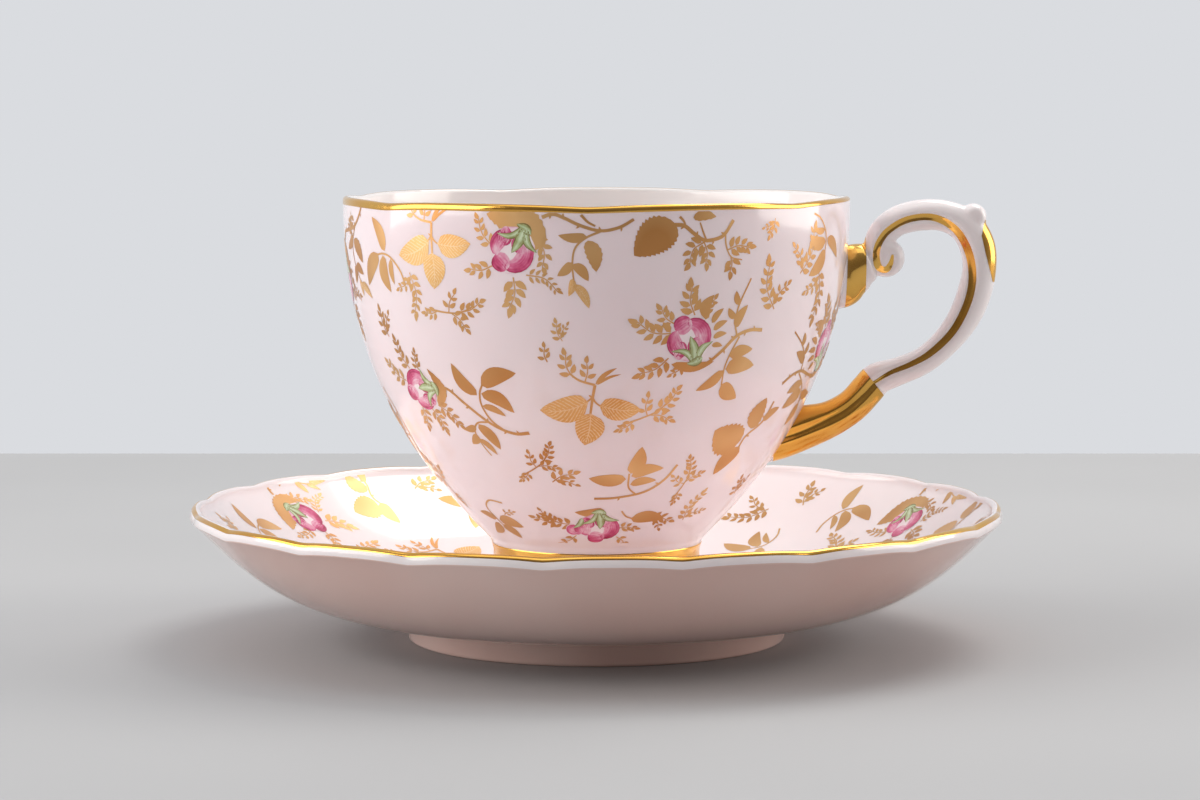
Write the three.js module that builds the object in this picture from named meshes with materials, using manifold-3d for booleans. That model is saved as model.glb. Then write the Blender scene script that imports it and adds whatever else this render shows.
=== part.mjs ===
// A bone-china teacup standing in its saucer. Millimetres, +Z up.
// The origin is on the saucer's axis, in the plane that its foot ring stands on.
// The cup's handle points along +X.
import * as THREE from "three";
import { mergeVertices } from "three/addons/utils/BufferGeometryUtils.js";
import Module from "manifold-3d";

const wasm = await Module();
wasm.setup();

// ---- Driving dimensions ----

// Saucer
const saucerRadius = 70;
const saucerHeight = 23.4;
const saucerWall = 2.8;
const saucerLipRadius = 0.85;
const saucerRingRadius = 32.75;
const saucerRingHeight = 4.4;
const saucerRingWidth = 3.0;
const wellDepth = 0.8;
const saucerLobes = 20;
const saucerFirstNotch = -6.9; // degrees from +X
const saucerNotchDrop = 0.6;
const saucerNotchInset = 0.45;
const saucerNotchFade = 9; // how far the notches run in from the edge

// Cup bowl
const cupRimRadius = 43.4;
const cupHeight = 69.9; // from the foot's underside to the lip
const cupWall = 2.0;
const cupLipRadius = 0.65;
const cupFloor = 3.2;
const cupLobes = 7;
const cupFirstNotch = -92; // degrees from +X
const cupNotchDrop = 0.45;
const cupNotchInset = 0.3;
const cupNotchFade = 9;

// Cup foot
const footWaistRadius = 17.7;
const footFlare = 2.5; // how much wider its base is than its waist
const footHeight = 9.0;
const footWall = 3.0;
const footWeb = 1.5; // clay over the hollow

// Handle
const handleThickness = 5.8;
const collarThickness = 7.0; // of the joint that holds the top of the handle
const handleReach = 25.1; // from the bowl's lip radius out to the farthest point
const handleTop = 0.6; // how far the top of the loop stays below the lip
const handleDrop = 44.8; // from the top of the loop down to the foot of the lower joint

// Gilding, drawn as a thin shell outside the china
const goldThickness = 0.2;
const rimGoldDepth = 0.75; // from the crest of the lip down its outside
const saucerGoldWidth = 0.9;
const footGoldHeight = 7.0;
const lineGoldWidth = 1.35;

// Clearances
const wellClearance = 3.3; // between the edge of the cup's foot and the edge of the well
const seatGap = 0.1; // between the cup's foot and the well
const slipGap = 0.1; // slip that joins the foot and the handle to the bowl
const goldGap = 0.05; // between gold and china

// Facets around each turned piece
const saucerSegments = saucerLobes * 3;
const cupSegments = cupLobes * 6;

// ---- Places worked out from the driving dimensions ----

const footBaseRadius = footWaistRadius + footFlare;
const wellRadius = footBaseRadius + wellClearance;
const wellTop = saucerRingHeight + saucerWall - wellDepth;
const footBase = wellTop + seatGap;
const footTop = footBase + footHeight;
const rimTop = footBase + cupHeight;

const china = (color) => new THREE.MeshStandardMaterial({ color, roughness: 0.12, metalness: 0 });
const gold = () => new THREE.MeshStandardMaterial({ color: 0xc9963c, roughness: 0.18, metalness: 1 });

const group = new THREE.Group();

// ---- Helpers ----

/** Position-only copy of a geometry with its shared vertices merged. */
function merged(geometry) {
  const bare = new THREE.BufferGeometry();
  bare.setAttribute("position", geometry.getAttribute("position").clone());
  if (geometry.index) bare.setIndex(geometry.index.clone());
  return mergeVertices(bare, 1e-3);
}

/**
 * Closed body turned about +Z from an outline of [radius, height] points that runs up its outside.
 * Its facets start at the angle given, in degrees from +X.
 */
function turned(outline, segments, start) {
  const points = outline.map(([r, z]) => new THREE.Vector2(r, z));
  const lathe = new THREE.LatheGeometry(points, segments, THREE.MathUtils.degToRad(start + 90));
  return merged(lathe.rotateX(Math.PI / 2));
}

/** Solid for joining and cutting. */
function solid(geometry) {
  const body = merged(geometry);
  return new wasm.Manifold(
    new wasm.Mesh({
      numProp: 3,
      vertProperties: body.getAttribute("position").array,
      triVerts: new Uint32Array(body.index.array),
    }),
  );
}

/** Geometry of a solid. */
function fromSolid(body) {
  const mesh = body.getMesh();
  const geometry = new THREE.BufferGeometry();
  geometry.setAttribute("position", new THREE.BufferAttribute(mesh.vertProperties, 3));
  geometry.setIndex(new THREE.BufferAttribute(mesh.triVerts, 1));
  return geometry;
}

/** Adds one named piece to the set. */
function add(name, geometry, material) {
  const mesh = new THREE.Mesh(geometry, material);
  mesh.geometry.computeVertexNormals();
  mesh.name = name;
  group.add(mesh);
}

/** Points of a curve as [radius, height] pairs. */
const along = (curve, steps) => curve.getPoints(steps).map((p) => [p.x, p.y]);

/** Half-round lip over a wall's top edge: from the outside, over the crest, to the inside. */
function lip(radius, crest, round, steps) {
  const arc = new THREE.EllipseCurve(radius - round, crest - round, round, round, 0, Math.PI, false);
  return along(arc, steps);
}

/** How far into a notch an angle is: 1 at a notch, 0 half way between two. */
function notchAt(angle, lobes, firstNotch) {
  const turn = ((angle - THREE.MathUtils.degToRad(firstNotch)) * lobes) / 2;
  return Math.pow(1 - Math.abs(Math.sin(turn)), 1.5);
}

/** Draws the notches of a wavy edge down and in, fading away from the edge at distance(x, z). */
function wavy(geometry, edge) {
  const position = geometry.getAttribute("position");
  for (let i = 0; i < position.count; i++) {
    const [x, y, z] = [position.getX(i), position.getY(i), position.getZ(i)];
    const radius = Math.hypot(x, y);
    const away = THREE.MathUtils.clamp(edge.distance(radius, z) / edge.fade, 0, 1);
    if (away >= 1) continue;
    const depth = notchAt(Math.atan2(y, x), edge.lobes, edge.firstNotch) * (1 - away) * (1 - away);
    const shrink = 1 - (edge.inset * depth) / radius;
    position.setXYZ(i, x * shrink, y * shrink, z - edge.drop * depth);
  }
  return geometry;
}

const saucerEdge = {
  lobes: saucerLobes,
  firstNotch: saucerFirstNotch,
  drop: saucerNotchDrop,
  inset: saucerNotchInset,
  fade: saucerNotchFade,
  distance: (radius) => saucerRadius - radius,
};
const cupEdge = {
  lobes: cupLobes,
  firstNotch: cupFirstNotch,
  drop: cupNotchDrop,
  inset: cupNotchInset,
  fade: cupNotchFade,
  distance: (radius, z) => rimTop - z,
};

// ---- Saucer ----

const dishEdgeHeight = saucerHeight - 1.7;
const dishCurve = new THREE.CubicBezierCurve(
  new THREE.Vector2(saucerRingRadius + 0.25, saucerRingHeight + 0.2),
  new THREE.Vector2(saucerRadius * 0.8, saucerRingHeight - 0.5),
  new THREE.Vector2(saucerRadius * 0.923, dishEdgeHeight - 4.4),
  new THREE.Vector2(saucerRadius, dishEdgeHeight),
);

/** Upper face of the dish: the underside's curve set off by the wall, thinning towards the lip. */
function dishInside(steps) {
  const points = [];
  for (let i = steps; i >= 0; i--) {
    const t = i / steps;
    const tangent = dishCurve.getTangent(t);
    const point = dishCurve.getPoint(t);
    const wall = THREE.MathUtils.lerp(saucerWall, 2 * saucerLipRadius, t * t);
    points.push([point.x - tangent.y * wall, point.y + tangent.x * wall]);
  }
  return points;
}

function saucerDish() {
  const ringInner = saucerRingRadius - saucerRingWidth;
  const inside = dishInside(9).filter(([r, z]) => r > wellRadius + 3 && z < saucerHeight - 2);
  const outline = [
    [0, saucerRingHeight - 0.6],
    [ringInner - 1.2, saucerRingHeight - 0.4],
    [ringInner, saucerRingHeight - 1.4],
    [ringInner + 0.5, 0.3],
    [ringInner + 0.8, 0],
    [saucerRingRadius - 0.9, 0],
    [saucerRingRadius - 0.35, 0.4],
    [saucerRingRadius, saucerRingHeight - 0.6],
    ...along(dishCurve, 9),
    ...lip(saucerRadius - 0.3, saucerHeight, saucerLipRadius, 4).slice(1),
    ...inside,
    [wellRadius + 2.2, wellTop + wellDepth],
    [wellRadius + 0.9, wellTop + wellDepth * 0.75],
    [wellRadius, wellTop],
    [0, wellTop],
  ];
  return wavy(turned(outline, saucerSegments, saucerFirstNotch), saucerEdge);
}

/** Thin gold line just outside the crest of the saucer's lip. */
function saucerRimGilding() {
  const centre = [saucerRadius - 0.3 - saucerLipRadius, saucerHeight - saucerLipRadius];
  const inner = saucerLipRadius + goldGap;
  const outer = inner + goldThickness;
  const half = saucerGoldWidth / (2 * saucerLipRadius);
  const middle = Math.PI * 0.32; // just outside the crest
  const over = new THREE.EllipseCurve(...centre, outer, outer, middle - half, middle + half, false);
  const under = new THREE.EllipseCurve(...centre, inner, inner, middle + half, middle - half, true);
  const outline = [...along(over, 3), ...along(under, 3)];
  return wavy(turned([...outline, outline[0]], saucerSegments, saucerFirstNotch), saucerEdge);
}

// ---- Cup ----

/** Outer wall of the bowl, from the joint with the foot to the lip, set out by grow. */
function bowlOuter(steps, grow) {
  const curve = new THREE.CubicBezierCurve(
    new THREE.Vector2(footWaistRadius + 0.6, footTop + 2.0),
    new THREE.Vector2(footWaistRadius + 13.45, footTop + 15.0),
    new THREE.Vector2(cupRimRadius, footTop + (rimTop - footTop) * 0.516),
    new THREE.Vector2(cupRimRadius, rimTop - cupLipRadius),
  );
  const points = [[footWaistRadius + grow, footTop - grow]];
  for (let i = 0; i <= steps; i++) {
    const tangent = curve.getTangent(i / steps);
    const point = curve.getPoint(i / steps);
    points.push([point.x + tangent.y * grow, point.y - tangent.x * grow]);
  }
  return points;
}

/** Inner wall, from the lip down to the floor on the axis. */
function bowlInner(steps) {
  const curve = new THREE.CubicBezierCurve(
    new THREE.Vector2(cupRimRadius - 2 * cupLipRadius, rimTop - cupLipRadius),
    new THREE.Vector2(cupRimRadius - cupWall, footTop + (rimTop - footTop) * 0.53),
    new THREE.Vector2(footWaistRadius + 11.6, footTop + 14.5),
    new THREE.Vector2(footWaistRadius - 2.0, footTop + cupFloor + 0.9),
  );
  const floor = footTop + cupFloor;
  return [...along(curve, steps), [footWaistRadius * 0.6, floor + 0.15], [0, floor]];
}

function cupBowl() {
  const outline = [
    [0, footTop],
    ...bowlOuter(11, 0),
    ...lip(cupRimRadius, rimTop, cupLipRadius, 4).slice(1, -1),
    ...bowlInner(9),
  ];
  return wavy(turned(outline, cupSegments, cupFirstNotch), cupEdge);
}

/** The bowl as a filled body, set out by grow, for cutting what is stuck to it. */
function bowlFilled(grow) {
  const outline = [[0, footTop - grow], ...bowlOuter(11, grow), [0, rimTop]];
  return solid(wavy(turned(outline, cupSegments, cupFirstNotch), cupEdge));
}

/** Outside of the foot, from its base up to the joint, set out by grow. */
function footOuter(grow) {
  const curve = new THREE.CubicBezierCurve(
    new THREE.Vector2(footBaseRadius + grow, footBase + 1.0),
    new THREE.Vector2(footBaseRadius - 0.4 + grow, footBase + 3.2),
    new THREE.Vector2(footWaistRadius + grow, footBase + footHeight * 0.5),
    new THREE.Vector2(footWaistRadius + grow, footTop - slipGap),
  );
  return along(curve, 5);
}

function cupFootRing() {
  const top = footTop - slipGap;
  const hollow = top - footWeb;
  const outline = [
    [0, hollow],
    [footWaistRadius - footWall - 1.0, hollow - 0.2],
    [footWaistRadius - footWall, hollow - 1.2],
    [footBaseRadius - footWall, footBase + 0.4],
    [footBaseRadius - footWall + 0.5, footBase],
    [footBaseRadius - 0.8, footBase],
    ...footOuter(0),
    [0, top],
  ];
  return turned(outline, cupSegments, cupFirstNotch);
}

/** Gold band around the foot, up to its joint with the bowl. */
function cupFootGilding() {
  const lowest = footTop - slipGap - footGoldHeight;
  const inside = footOuter(goldGap).filter((point) => point[1] >= lowest);
  const outside = footOuter(goldGap + goldThickness).filter((point) => point[1] >= lowest);
  const outline = [...outside, ...inside.reverse()];
  return turned([...outline, outline[0]], cupSegments, cupFirstNotch);
}

/** Gold line over the crest of the lip and a little way down its outside. */
function cupRimGilding() {
  const centre = [cupRimRadius - cupLipRadius, rimTop - cupLipRadius];
  const inner = cupLipRadius + goldGap;
  const outer = inner + goldThickness;
  const crest = Math.PI * 0.6;
  const over = new THREE.EllipseCurve(...centre, outer, outer, 0, crest, false);
  const under = new THREE.EllipseCurve(...centre, inner, inner, crest, 0, true);
  const lowest = rimTop - rimGoldDepth;
  const outline = [
    [cupRimRadius + goldGap + goldThickness, lowest],
    ...along(over, 4),
    ...along(under, 4),
    [cupRimRadius + goldGap, lowest],
  ];
  return wavy(turned([...outline, outline[0]], cupSegments, cupFirstNotch), cupEdge);
}

// ---- Handle ----

// The handle lies in the XZ plane. Its points are measured out from the lip radius and down from the top
// of the loop, and stretch with the handle's reach and drop.
const handleTopZ = rimTop - handleTop;
const drawnReach = 25.1;
const drawnDrop = 44.8;
const handleX = (out) => cupRimRadius + (out * handleReach) / drawnReach;
const handleZ = (down) => handleTopZ - (down * handleDrop) / drawnDrop;

/** Bar bent along [out, down, width] stations, of one thickness across the XZ plane, set out by grow. */
function bar(stations, thickness, steps, grow) {
  const centre = new THREE.CatmullRomCurve3(
    stations.map(([out, down, width]) => new THREE.Vector3(handleX(out), width, handleZ(down))),
  );
  const geometry = new THREE.CylinderGeometry(1, 1, 1, 10, steps);
  const position = geometry.getAttribute("position");
  for (let i = 0; i < position.count; i++) {
    const t = position.getY(i) + 0.5;
    const point = centre.getPoint(t);
    const tangent = centre.getTangent(t).setY(0).normalize();
    const side = position.getX(i) * (point.y / 2 + grow);
    const across = position.getZ(i) * (thickness / 2 + grow);
    position.setXYZ(i, point.x - tangent.z * side, across, point.z + tangent.x * side);
  }
  return solid(geometry);
}

/** Round button across the XZ plane, with a rounded edge, set out by grow. */
function button(out, down, radius, thickness, grow) {
  const half = thickness / 2 + grow;
  const round = half * 0.7;
  const rim = radius + grow - round;
  const outline = [
    [0, -half],
    ...along(new THREE.EllipseCurve(rim, 0, round, half, -Math.PI / 2, Math.PI / 2, false), 6),
    [0, half],
  ];
  const points = outline.map(([r, y]) => new THREE.Vector2(r, y));
  const geometry = new THREE.LatheGeometry(points, 16);
  return solid(geometry.translate(handleX(out), 0, handleZ(down)));
}

const loopStations = [
  [5.4, 10.6, 3.6],
  [4.7, 8.6, 4.4],
  [5.6, 6.0, 5.0],
  [8.2, 3.8, 5.2],
  [12.0, 2.8, 5.4],
  [16.2, 2.9, 5.4],
  [19.8, 4.6, 5.9],
  [21.9, 8.0, 6.1],
  [22.3, 12.0, 5.8],
  [21.4, 16.4, 5.9],
  [19.6, 20.6, 5.5],
  [16.6, 24.6, 4.9],
  [12.8, 27.8, 4.7],
  [8.4, 29.7, 4.9],
  [5.0, 30.9, 5.6],
  [3.2, 32.8, 5.8],
  [0.6, 35.6, 5.8],
  [-3.2, 37.9, 6.3],
  [-7.6, 39.3, 7.6],
  [-12.6, 40.7, 8.4],
  [-34.0, 41.6, 8.6],
];
const collarStations = [
  [-12.0, 12.6, 12.0],
  [-3.0, 12.6, 11.6],
  [0.4, 12.2, 9.2],
  [3.4, 10.7, 6.6],
];

/** The whole handle before it is trimmed to the bowl, set out by grow. */
function handleBody(grow) {
  return bar(loopStations, handleThickness, 44, grow)
    .add(bar(collarStations, collarThickness, 7, grow))
    .add(button(6.1, 10.2, 3.2, handleThickness, grow))
    .add(button(20.9, 3.2, 2.5, handleThickness * 0.8, grow));
}

/** Gold shell over the part of the handle that an outline of [out, down] corners takes in. */
function handleGilding(corners) {
  const shape = new THREE.Shape(corners.map(([out, down]) => new THREE.Vector2(handleX(out), -handleZ(down))));
  const depth = handleThickness * 2;
  const slab = new THREE.ExtrudeGeometry(shape, { depth, bevelEnabled: false });
  slab.translate(0, 0, -depth / 2).rotateX(-Math.PI / 2);
  const shell = handleBody(goldGap + goldThickness).subtract(handleBody(goldGap));
  return fromSolid(shell.intersect(solid(slab)).subtract(bowlFilled(slipGap)));
}

/** Gold line along the middle of one side of the handle, from the curl round to the lower joint. */
function handleLine(side) {
  const y = side * (handleThickness / 2 + goldGap + goldThickness / 2);
  const route = [
    [6.9, 10.3],
    [6.5, 12.0],
    [5.0, 11.6],
    [4.8, 9.0],
    [6.0, 5.9],
    [9.9, 3.2],
    [14.8, 3.0],
    [18.2, 5.2],
    [20.7, 10.1],
    [20.9, 15.4],
    [18.4, 21.9],
    [14.0, 26.2],
    [8.6, 29.2],
    [4.4, 31.0],
  ].map(([out, down]) => new THREE.Vector3(handleX(out), y, handleZ(down)));
  const section = new THREE.Shape([
    new THREE.Vector2(-goldThickness / 2, -lineGoldWidth / 2),
    new THREE.Vector2(goldThickness / 2, -lineGoldWidth / 2),
    new THREE.Vector2(goldThickness / 2, lineGoldWidth / 2),
    new THREE.Vector2(-goldThickness / 2, lineGoldWidth / 2),
  ]);
  const extrudePath = new THREE.CatmullRomCurve3(route);
  return new THREE.ExtrudeGeometry(section, { steps: 40, bevelEnabled: false, extrudePath });
}

// Corners, as [out, down], of the parts of the handle that are gilt all over.
const upperGold = [[-8, 5.5], [2.2, 5.5], [2.2, 24], [-8, 24]];
const lowerGold = [[-22, 50], [8, 50], [6.0, 33.4], [3.6, 30.8], [1.8, 27.0], [-22, 27.0]];
const thumbGold = [[22.4, 6.2], [23.1, 3.6], [28, 3.6], [28, 14.2], [24.5, 14.2], [23.1, 9.2]];

// ---- The set ----

add("saucer_dish", saucerDish(), china(0xf4eceb));
add("saucer_rim_gilding", saucerRimGilding(), gold());
add("cup_bowl", cupBowl(), china(0xf3e3e4));
add("cup_foot_ring", cupFootRing(), china(0xf3e3e4));
add("cup_rim_gilding", cupRimGilding(), gold());
add("cup_foot_gilding", cupFootGilding(), gold());
add("cup_handle", fromSolid(handleBody(0).subtract(bowlFilled(slipGap))), china(0xf4e9e8));
add("handle_upper_gilding", handleGilding(upperGold), gold());
add("handle_lower_gilding", handleGilding(lowerGold), gold());
add("handle_thumb_gilding", handleGilding(thumbGold), gold());
add("handle_line_gilding_front", handleLine(-1), gold());
add("handle_line_gilding_back", handleLine(1), gold());

export default group;
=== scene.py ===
"""Looks for the bone-china teacup and saucer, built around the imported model.

The origin is on the saucer's axis, in the plane that its foot ring stands on. +Z is up and the cup's handle
points along +X. Sizes are written in millimetres, and meshes are handed to Blender in metres.
"""

import logging
import math
from collections.abc import Callable, Sequence
from dataclasses import dataclass, field, replace
from enum import Enum
from functools import partial

import bmesh
import bpy
from mathutils import Matrix, Vector
from mathutils.bvhtree import BVHTree
from mathutils.geometry import interpolate_bezier
from mathutils.kdtree import KDTree


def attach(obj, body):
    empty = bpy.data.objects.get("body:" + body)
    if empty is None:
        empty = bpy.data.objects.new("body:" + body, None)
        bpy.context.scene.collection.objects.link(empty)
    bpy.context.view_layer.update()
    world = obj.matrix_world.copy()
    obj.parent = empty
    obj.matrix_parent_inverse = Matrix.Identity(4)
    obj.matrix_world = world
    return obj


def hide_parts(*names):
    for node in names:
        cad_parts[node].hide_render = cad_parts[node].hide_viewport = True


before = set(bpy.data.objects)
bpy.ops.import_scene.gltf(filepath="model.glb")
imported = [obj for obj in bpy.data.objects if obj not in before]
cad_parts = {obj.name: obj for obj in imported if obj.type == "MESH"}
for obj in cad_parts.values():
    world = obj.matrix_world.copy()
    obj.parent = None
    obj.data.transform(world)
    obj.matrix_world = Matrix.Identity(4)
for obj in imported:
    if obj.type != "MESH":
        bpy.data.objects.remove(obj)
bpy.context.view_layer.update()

log = logging.getLogger("teacup")

MM = 0.001
TURN = 2 * math.pi
SAME_POINT = 1e-4  # mm within which two points of a turned skin are one
GOLD_LIFT = 0.03  # mm that a gold line stands off the glaze
GLASS = 1.52  # how strongly glaze and enamel bend light

Pair = tuple[float, float]
Station = tuple[float, float, float]


# ---- Small tools ----


def linear(code: str) -> tuple[float, float, float, float]:
    """Turns an sRGB colour into the linear one that shaders take.

    Args:
        code: the colour as "#rrggbb".

    Returns:
        Linear red, green and blue, and full alpha.
    """
    shares = [int(code[i : i + 2], 16) / 255 for i in (1, 3, 5)]
    red, green, blue = (s / 12.92 if s <= 0.04045 else ((s + 0.055) / 1.055) ** 2.4 for s in shares)
    return red, green, blue, 1.0


def bezier(corners: Sequence[Pair], steps: int) -> list[Pair]:
    """Points of a cubic curve.

    Args:
        corners: its start, two handles and end, as radius and height.
        steps: how many pieces it is cut into.

    Returns:
        The points, both ends with them.
    """
    start, out, back, end = (Vector((r, z, 0)) for r, z in corners)
    return [(p.x, p.y) for p in interpolate_bezier(start, out, back, end, steps + 1)]


def arc(centre: Pair, radius: float, first: float, last: float, steps: int) -> list[Pair]:
    """Points of an arc.

    Args:
        centre: radius and height of its centre.
        radius: its own radius.
        first: angle of its first point, in degrees from straight out.
        last: angle of its last point.
        steps: how many pieces it is cut into.

    Returns:
        The points, both ends with them.
    """
    angles = [math.radians(first + (last - first) * i / steps) for i in range(steps + 1)]
    return [(centre[0] + radius * math.cos(a), centre[1] + radius * math.sin(a)) for a in angles]


def through(points: Sequence[Sequence[float]], share: float) -> Vector:
    """Point on the smooth curve that passes through some points.

    Args:
        points: the points, each of two or three numbers.
        share: how far along, from 0 to 1.

    Returns:
        The point, with as many numbers as they have.
    """
    knots = [Vector(p) for p in points]
    place = min(max(share, 0.0), 1.0) * (len(knots) - 1)
    index = min(int(place), len(knots) - 2)
    t = place - index
    before = knots[index - 1] if index else 2 * knots[0] - knots[1]
    after = knots[index + 2] if index + 2 < len(knots) else 2 * knots[-1] - knots[-2]
    a, b = knots[index], knots[index + 1]
    return 0.5 * (
        2 * a + (b - before) * t + (2 * before - 5 * a + 4 * b - after) * t**2 + (3 * a - before - 3 * b + after) * t**3
    )


def heading(points: Sequence[Sequence[float]], share: float, step: float = 0.02) -> Vector:
    """Direction of the smooth curve through some points.

    Args:
        points: the points.
        share: how far along, from 0 to 1.
        step: how far before and after that place it is measured.

    Returns:
        The direction, one long.
    """
    return (through(points, share + step) - through(points, share - step)).normalized()


def left_of(way: Vector) -> Vector:
    """Direction a quarter turn to the left of another, as long as it is."""
    return Vector((-way.y, way.x))


def linked(name: str, data: bpy.types.ID) -> bpy.types.Object:
    """Puts an object into the scene.

    Args:
        name: its name.
        data: its mesh, lamp or camera.

    Returns:
        The object, at the origin.
    """
    thing = bpy.data.objects.new(name, data)
    bpy.context.scene.collection.objects.link(thing)
    return thing


def stored(name: str, mesh: bmesh.types.BMesh) -> bpy.types.Mesh:
    """Stores a mesh that is being worked on.

    Args:
        name: name of the stored mesh.
        mesh: the mesh, which is freed.

    Returns:
        The stored mesh.
    """
    data = bpy.data.meshes.new(name)
    mesh.to_mesh(data)
    mesh.free()
    return data


def add_part(whole: bmesh.types.BMesh, part: bmesh.types.BMesh) -> None:
    """Adds one mesh to another.

    Args:
        whole: the mesh that grows.
        part: the mesh that is added, and freed.
    """
    data = stored("part", part)
    whole.from_mesh(data)
    bpy.data.meshes.remove(data)


def trim(mesh: bmesh.types.BMesh, place: Sequence[float], outward: Sequence[float]) -> None:
    """Cuts away all that lies beyond a plane.

    Args:
        mesh: the mesh.
        place: a point of the plane.
        outward: direction from the plane to what is cut away.
    """
    every = mesh.verts[:] + mesh.edges[:] + mesh.faces[:]
    bmesh.ops.bisect_plane(mesh, geom=every, plane_co=place, plane_no=outward, clear_outer=True)


def finished(name: str, mesh: bmesh.types.BMesh, materials: Sequence[bpy.types.Material]) -> bpy.types.Object:
    """Makes a piece from a mesh drawn in millimetres.

    Args:
        name: the piece's name.
        mesh: the mesh, which is freed.
        materials: its finishes, in the order of the faces' material numbers.

    Returns:
        The piece, at the origin, shaded smooth.
    """
    bmesh.ops.scale(mesh, vec=(MM,) * 3, verts=mesh.verts)
    for face in mesh.faces:
        face.smooth = True
    data = stored(name, mesh)
    for material in materials:
        data.materials.append(material)
    log.info("%s: %d faces", name, len(data.polygons))
    return linked(name, data)


# ---- Finishes ----


def add_node(
    tree: bpy.types.NodeTree, kind: str, settings: dict[str, object] | None = None, out: int = 0, **inputs: object
) -> bpy.types.NodeSocket | None:
    """Adds one node with its settings and links.

    Args:
        tree: the node tree.
        kind: the node's type, without "ShaderNode".
        settings: properties of the node, or "stops" for the places and sRGB colours of a colour ramp.
        out: number of the output that is wanted.
        **inputs: a value or a socket to link for each input, with "_" for a space, or "n3" for input 3.

    Returns:
        The output, or None for a node that has none.
    """
    node = tree.nodes.new("ShaderNode" + kind)
    for key, value in (settings or {}).items():
        if key == "stops":
            marks = node.color_ramp.elements
            while len(marks) < len(value):
                marks.new(1.0)
            for mark, (place, code) in zip(marks, value):
                mark.position, mark.color = place, linear(code)
        else:
            setattr(node, key, value)
    for key, value in inputs.items():
        socket = node.inputs[int(key[1:])] if key[1:].isdigit() else node.inputs[key.replace("_", " ")]
        if isinstance(value, bpy.types.NodeSocket):
            tree.links.new(value, socket)
        else:
            socket.default_value = value
    return node.outputs[out] if node.outputs else None


class Recipe:
    """A finish that can be made into a material."""

    name: str

    def make(self) -> bpy.types.Material:
        """Builds the material's tree and closes it with its surface.

        Returns:
            The material.
        """
        material = bpy.data.materials.new(self.name)
        material.use_nodes = True
        tree = material.node_tree
        tree.nodes.clear()
        surface = add_node(tree, "BsdfPrincipled", **self.surface(tree))
        add_node(tree, "OutputMaterial", Surface=surface)
        return material

    def surface(self, tree: bpy.types.NodeTree) -> dict[str, object]:
        """Values and links of the surface's sockets."""
        raise NotImplementedError


@dataclass(frozen=True)
class BoneChinaGlaze(Recipe):
    """Bone china under a fired clear glaze: a dense, slightly see-through white body with a wet, glassy skin.

    The glaze pools very slightly, so the tint drifts over some centimetres, and the skin has a faint orange peel.
    """

    name: str
    thin: str
    pooled: str
    drift: float = 38.0  # mm from one tint to the next
    peel: float = 6.5  # mm between the swells of the glaze
    swell: float = 0.010  # mm that they stand up
    wiped: float = 90.0  # duller patches to a metre
    depth: float = 1.4  # mm that light sinks in
    gloss: float = 0.1

    def surface(self, tree: bpy.types.NodeTree) -> dict[str, object]:
        """Pooled tint, patches that are wiped a little duller, and the glaze's slow swell.

        Args:
            tree: the node tree.

        Returns:
            Values and links of the surface's sockets.
        """
        add = partial(add_node, tree)
        where = add("TexCoord", out=3)
        cloud = add("TexNoise", Vector=where, Scale=1 / (self.drift * MM), Detail=2.0, Roughness=0.45)
        peel = add("TexNoise", Vector=where, Scale=1 / (self.peel * MM), Detail=1.0, Roughness=0.4)
        wiped = add("TexNoise", Vector=where, Scale=self.wiped, Detail=3.0)
        gloss = add(
            "MapRange", Value=wiped, From_Min=0.3, From_Max=0.7, To_Min=self.gloss * 0.8, To_Max=self.gloss * 1.35
        )
        return {
            "Base_Color": add("ValToRGB", {"stops": [(0.3, self.thin), (0.72, self.pooled)]}, Fac=cloud),
            "Roughness": gloss,
            "Normal": add("Bump", Strength=0.5, Distance=self.swell * MM, Height=peel),
            "IOR": GLASS,
            "Subsurface_Weight": 0.2,
            "Subsurface_Radius": (1.0, 0.86, 0.84),
            "Subsurface_Scale": self.depth * MM,
            "Coat_Weight": 0.35,
            "Coat_Roughness": 0.08,
        }


@dataclass(frozen=True)
class BurnishedGold(Recipe):
    """Best gold, brushed on by hand, fired and burnished: a warm mirror with faint strokes and soft clouds."""

    name: str = "burnished_gold"
    base: str = "#ecb95f"
    worn: str = "#e2a548"
    gloss: float = 0.12
    stroke: float = 1.4  # mm between the burnisher's clouds
    tones: float = 70.0  # changes of tone to a metre

    def surface(self, tree: bpy.types.NodeTree) -> dict[str, object]:
        """Warm metal, with the burnisher's clouds in its gloss and in its height.

        Args:
            tree: the node tree.

        Returns:
            Values and links of the surface's sockets.
        """
        add = partial(add_node, tree)
        where = add("TexCoord", out=3)
        cloud = add("TexNoise", Vector=where, Scale=1 / (self.stroke * MM), Detail=4.0)
        wide = add("TexNoise", Vector=where, Scale=self.tones, Detail=2.0)
        gloss = add(
            "MapRange", Value=cloud, From_Min=0.3, From_Max=0.7, To_Min=self.gloss * 0.7, To_Max=self.gloss * 1.6
        )
        return {
            "Base_Color": add("ValToRGB", {"stops": [(0.35, self.base), (0.7, self.worn)]}, Fac=wide),
            "Roughness": gloss,
            "Normal": add("Bump", Strength=0.35, Distance=0.01 * MM, Height=cloud),
            "Metallic": 1.0,
        }


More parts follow.
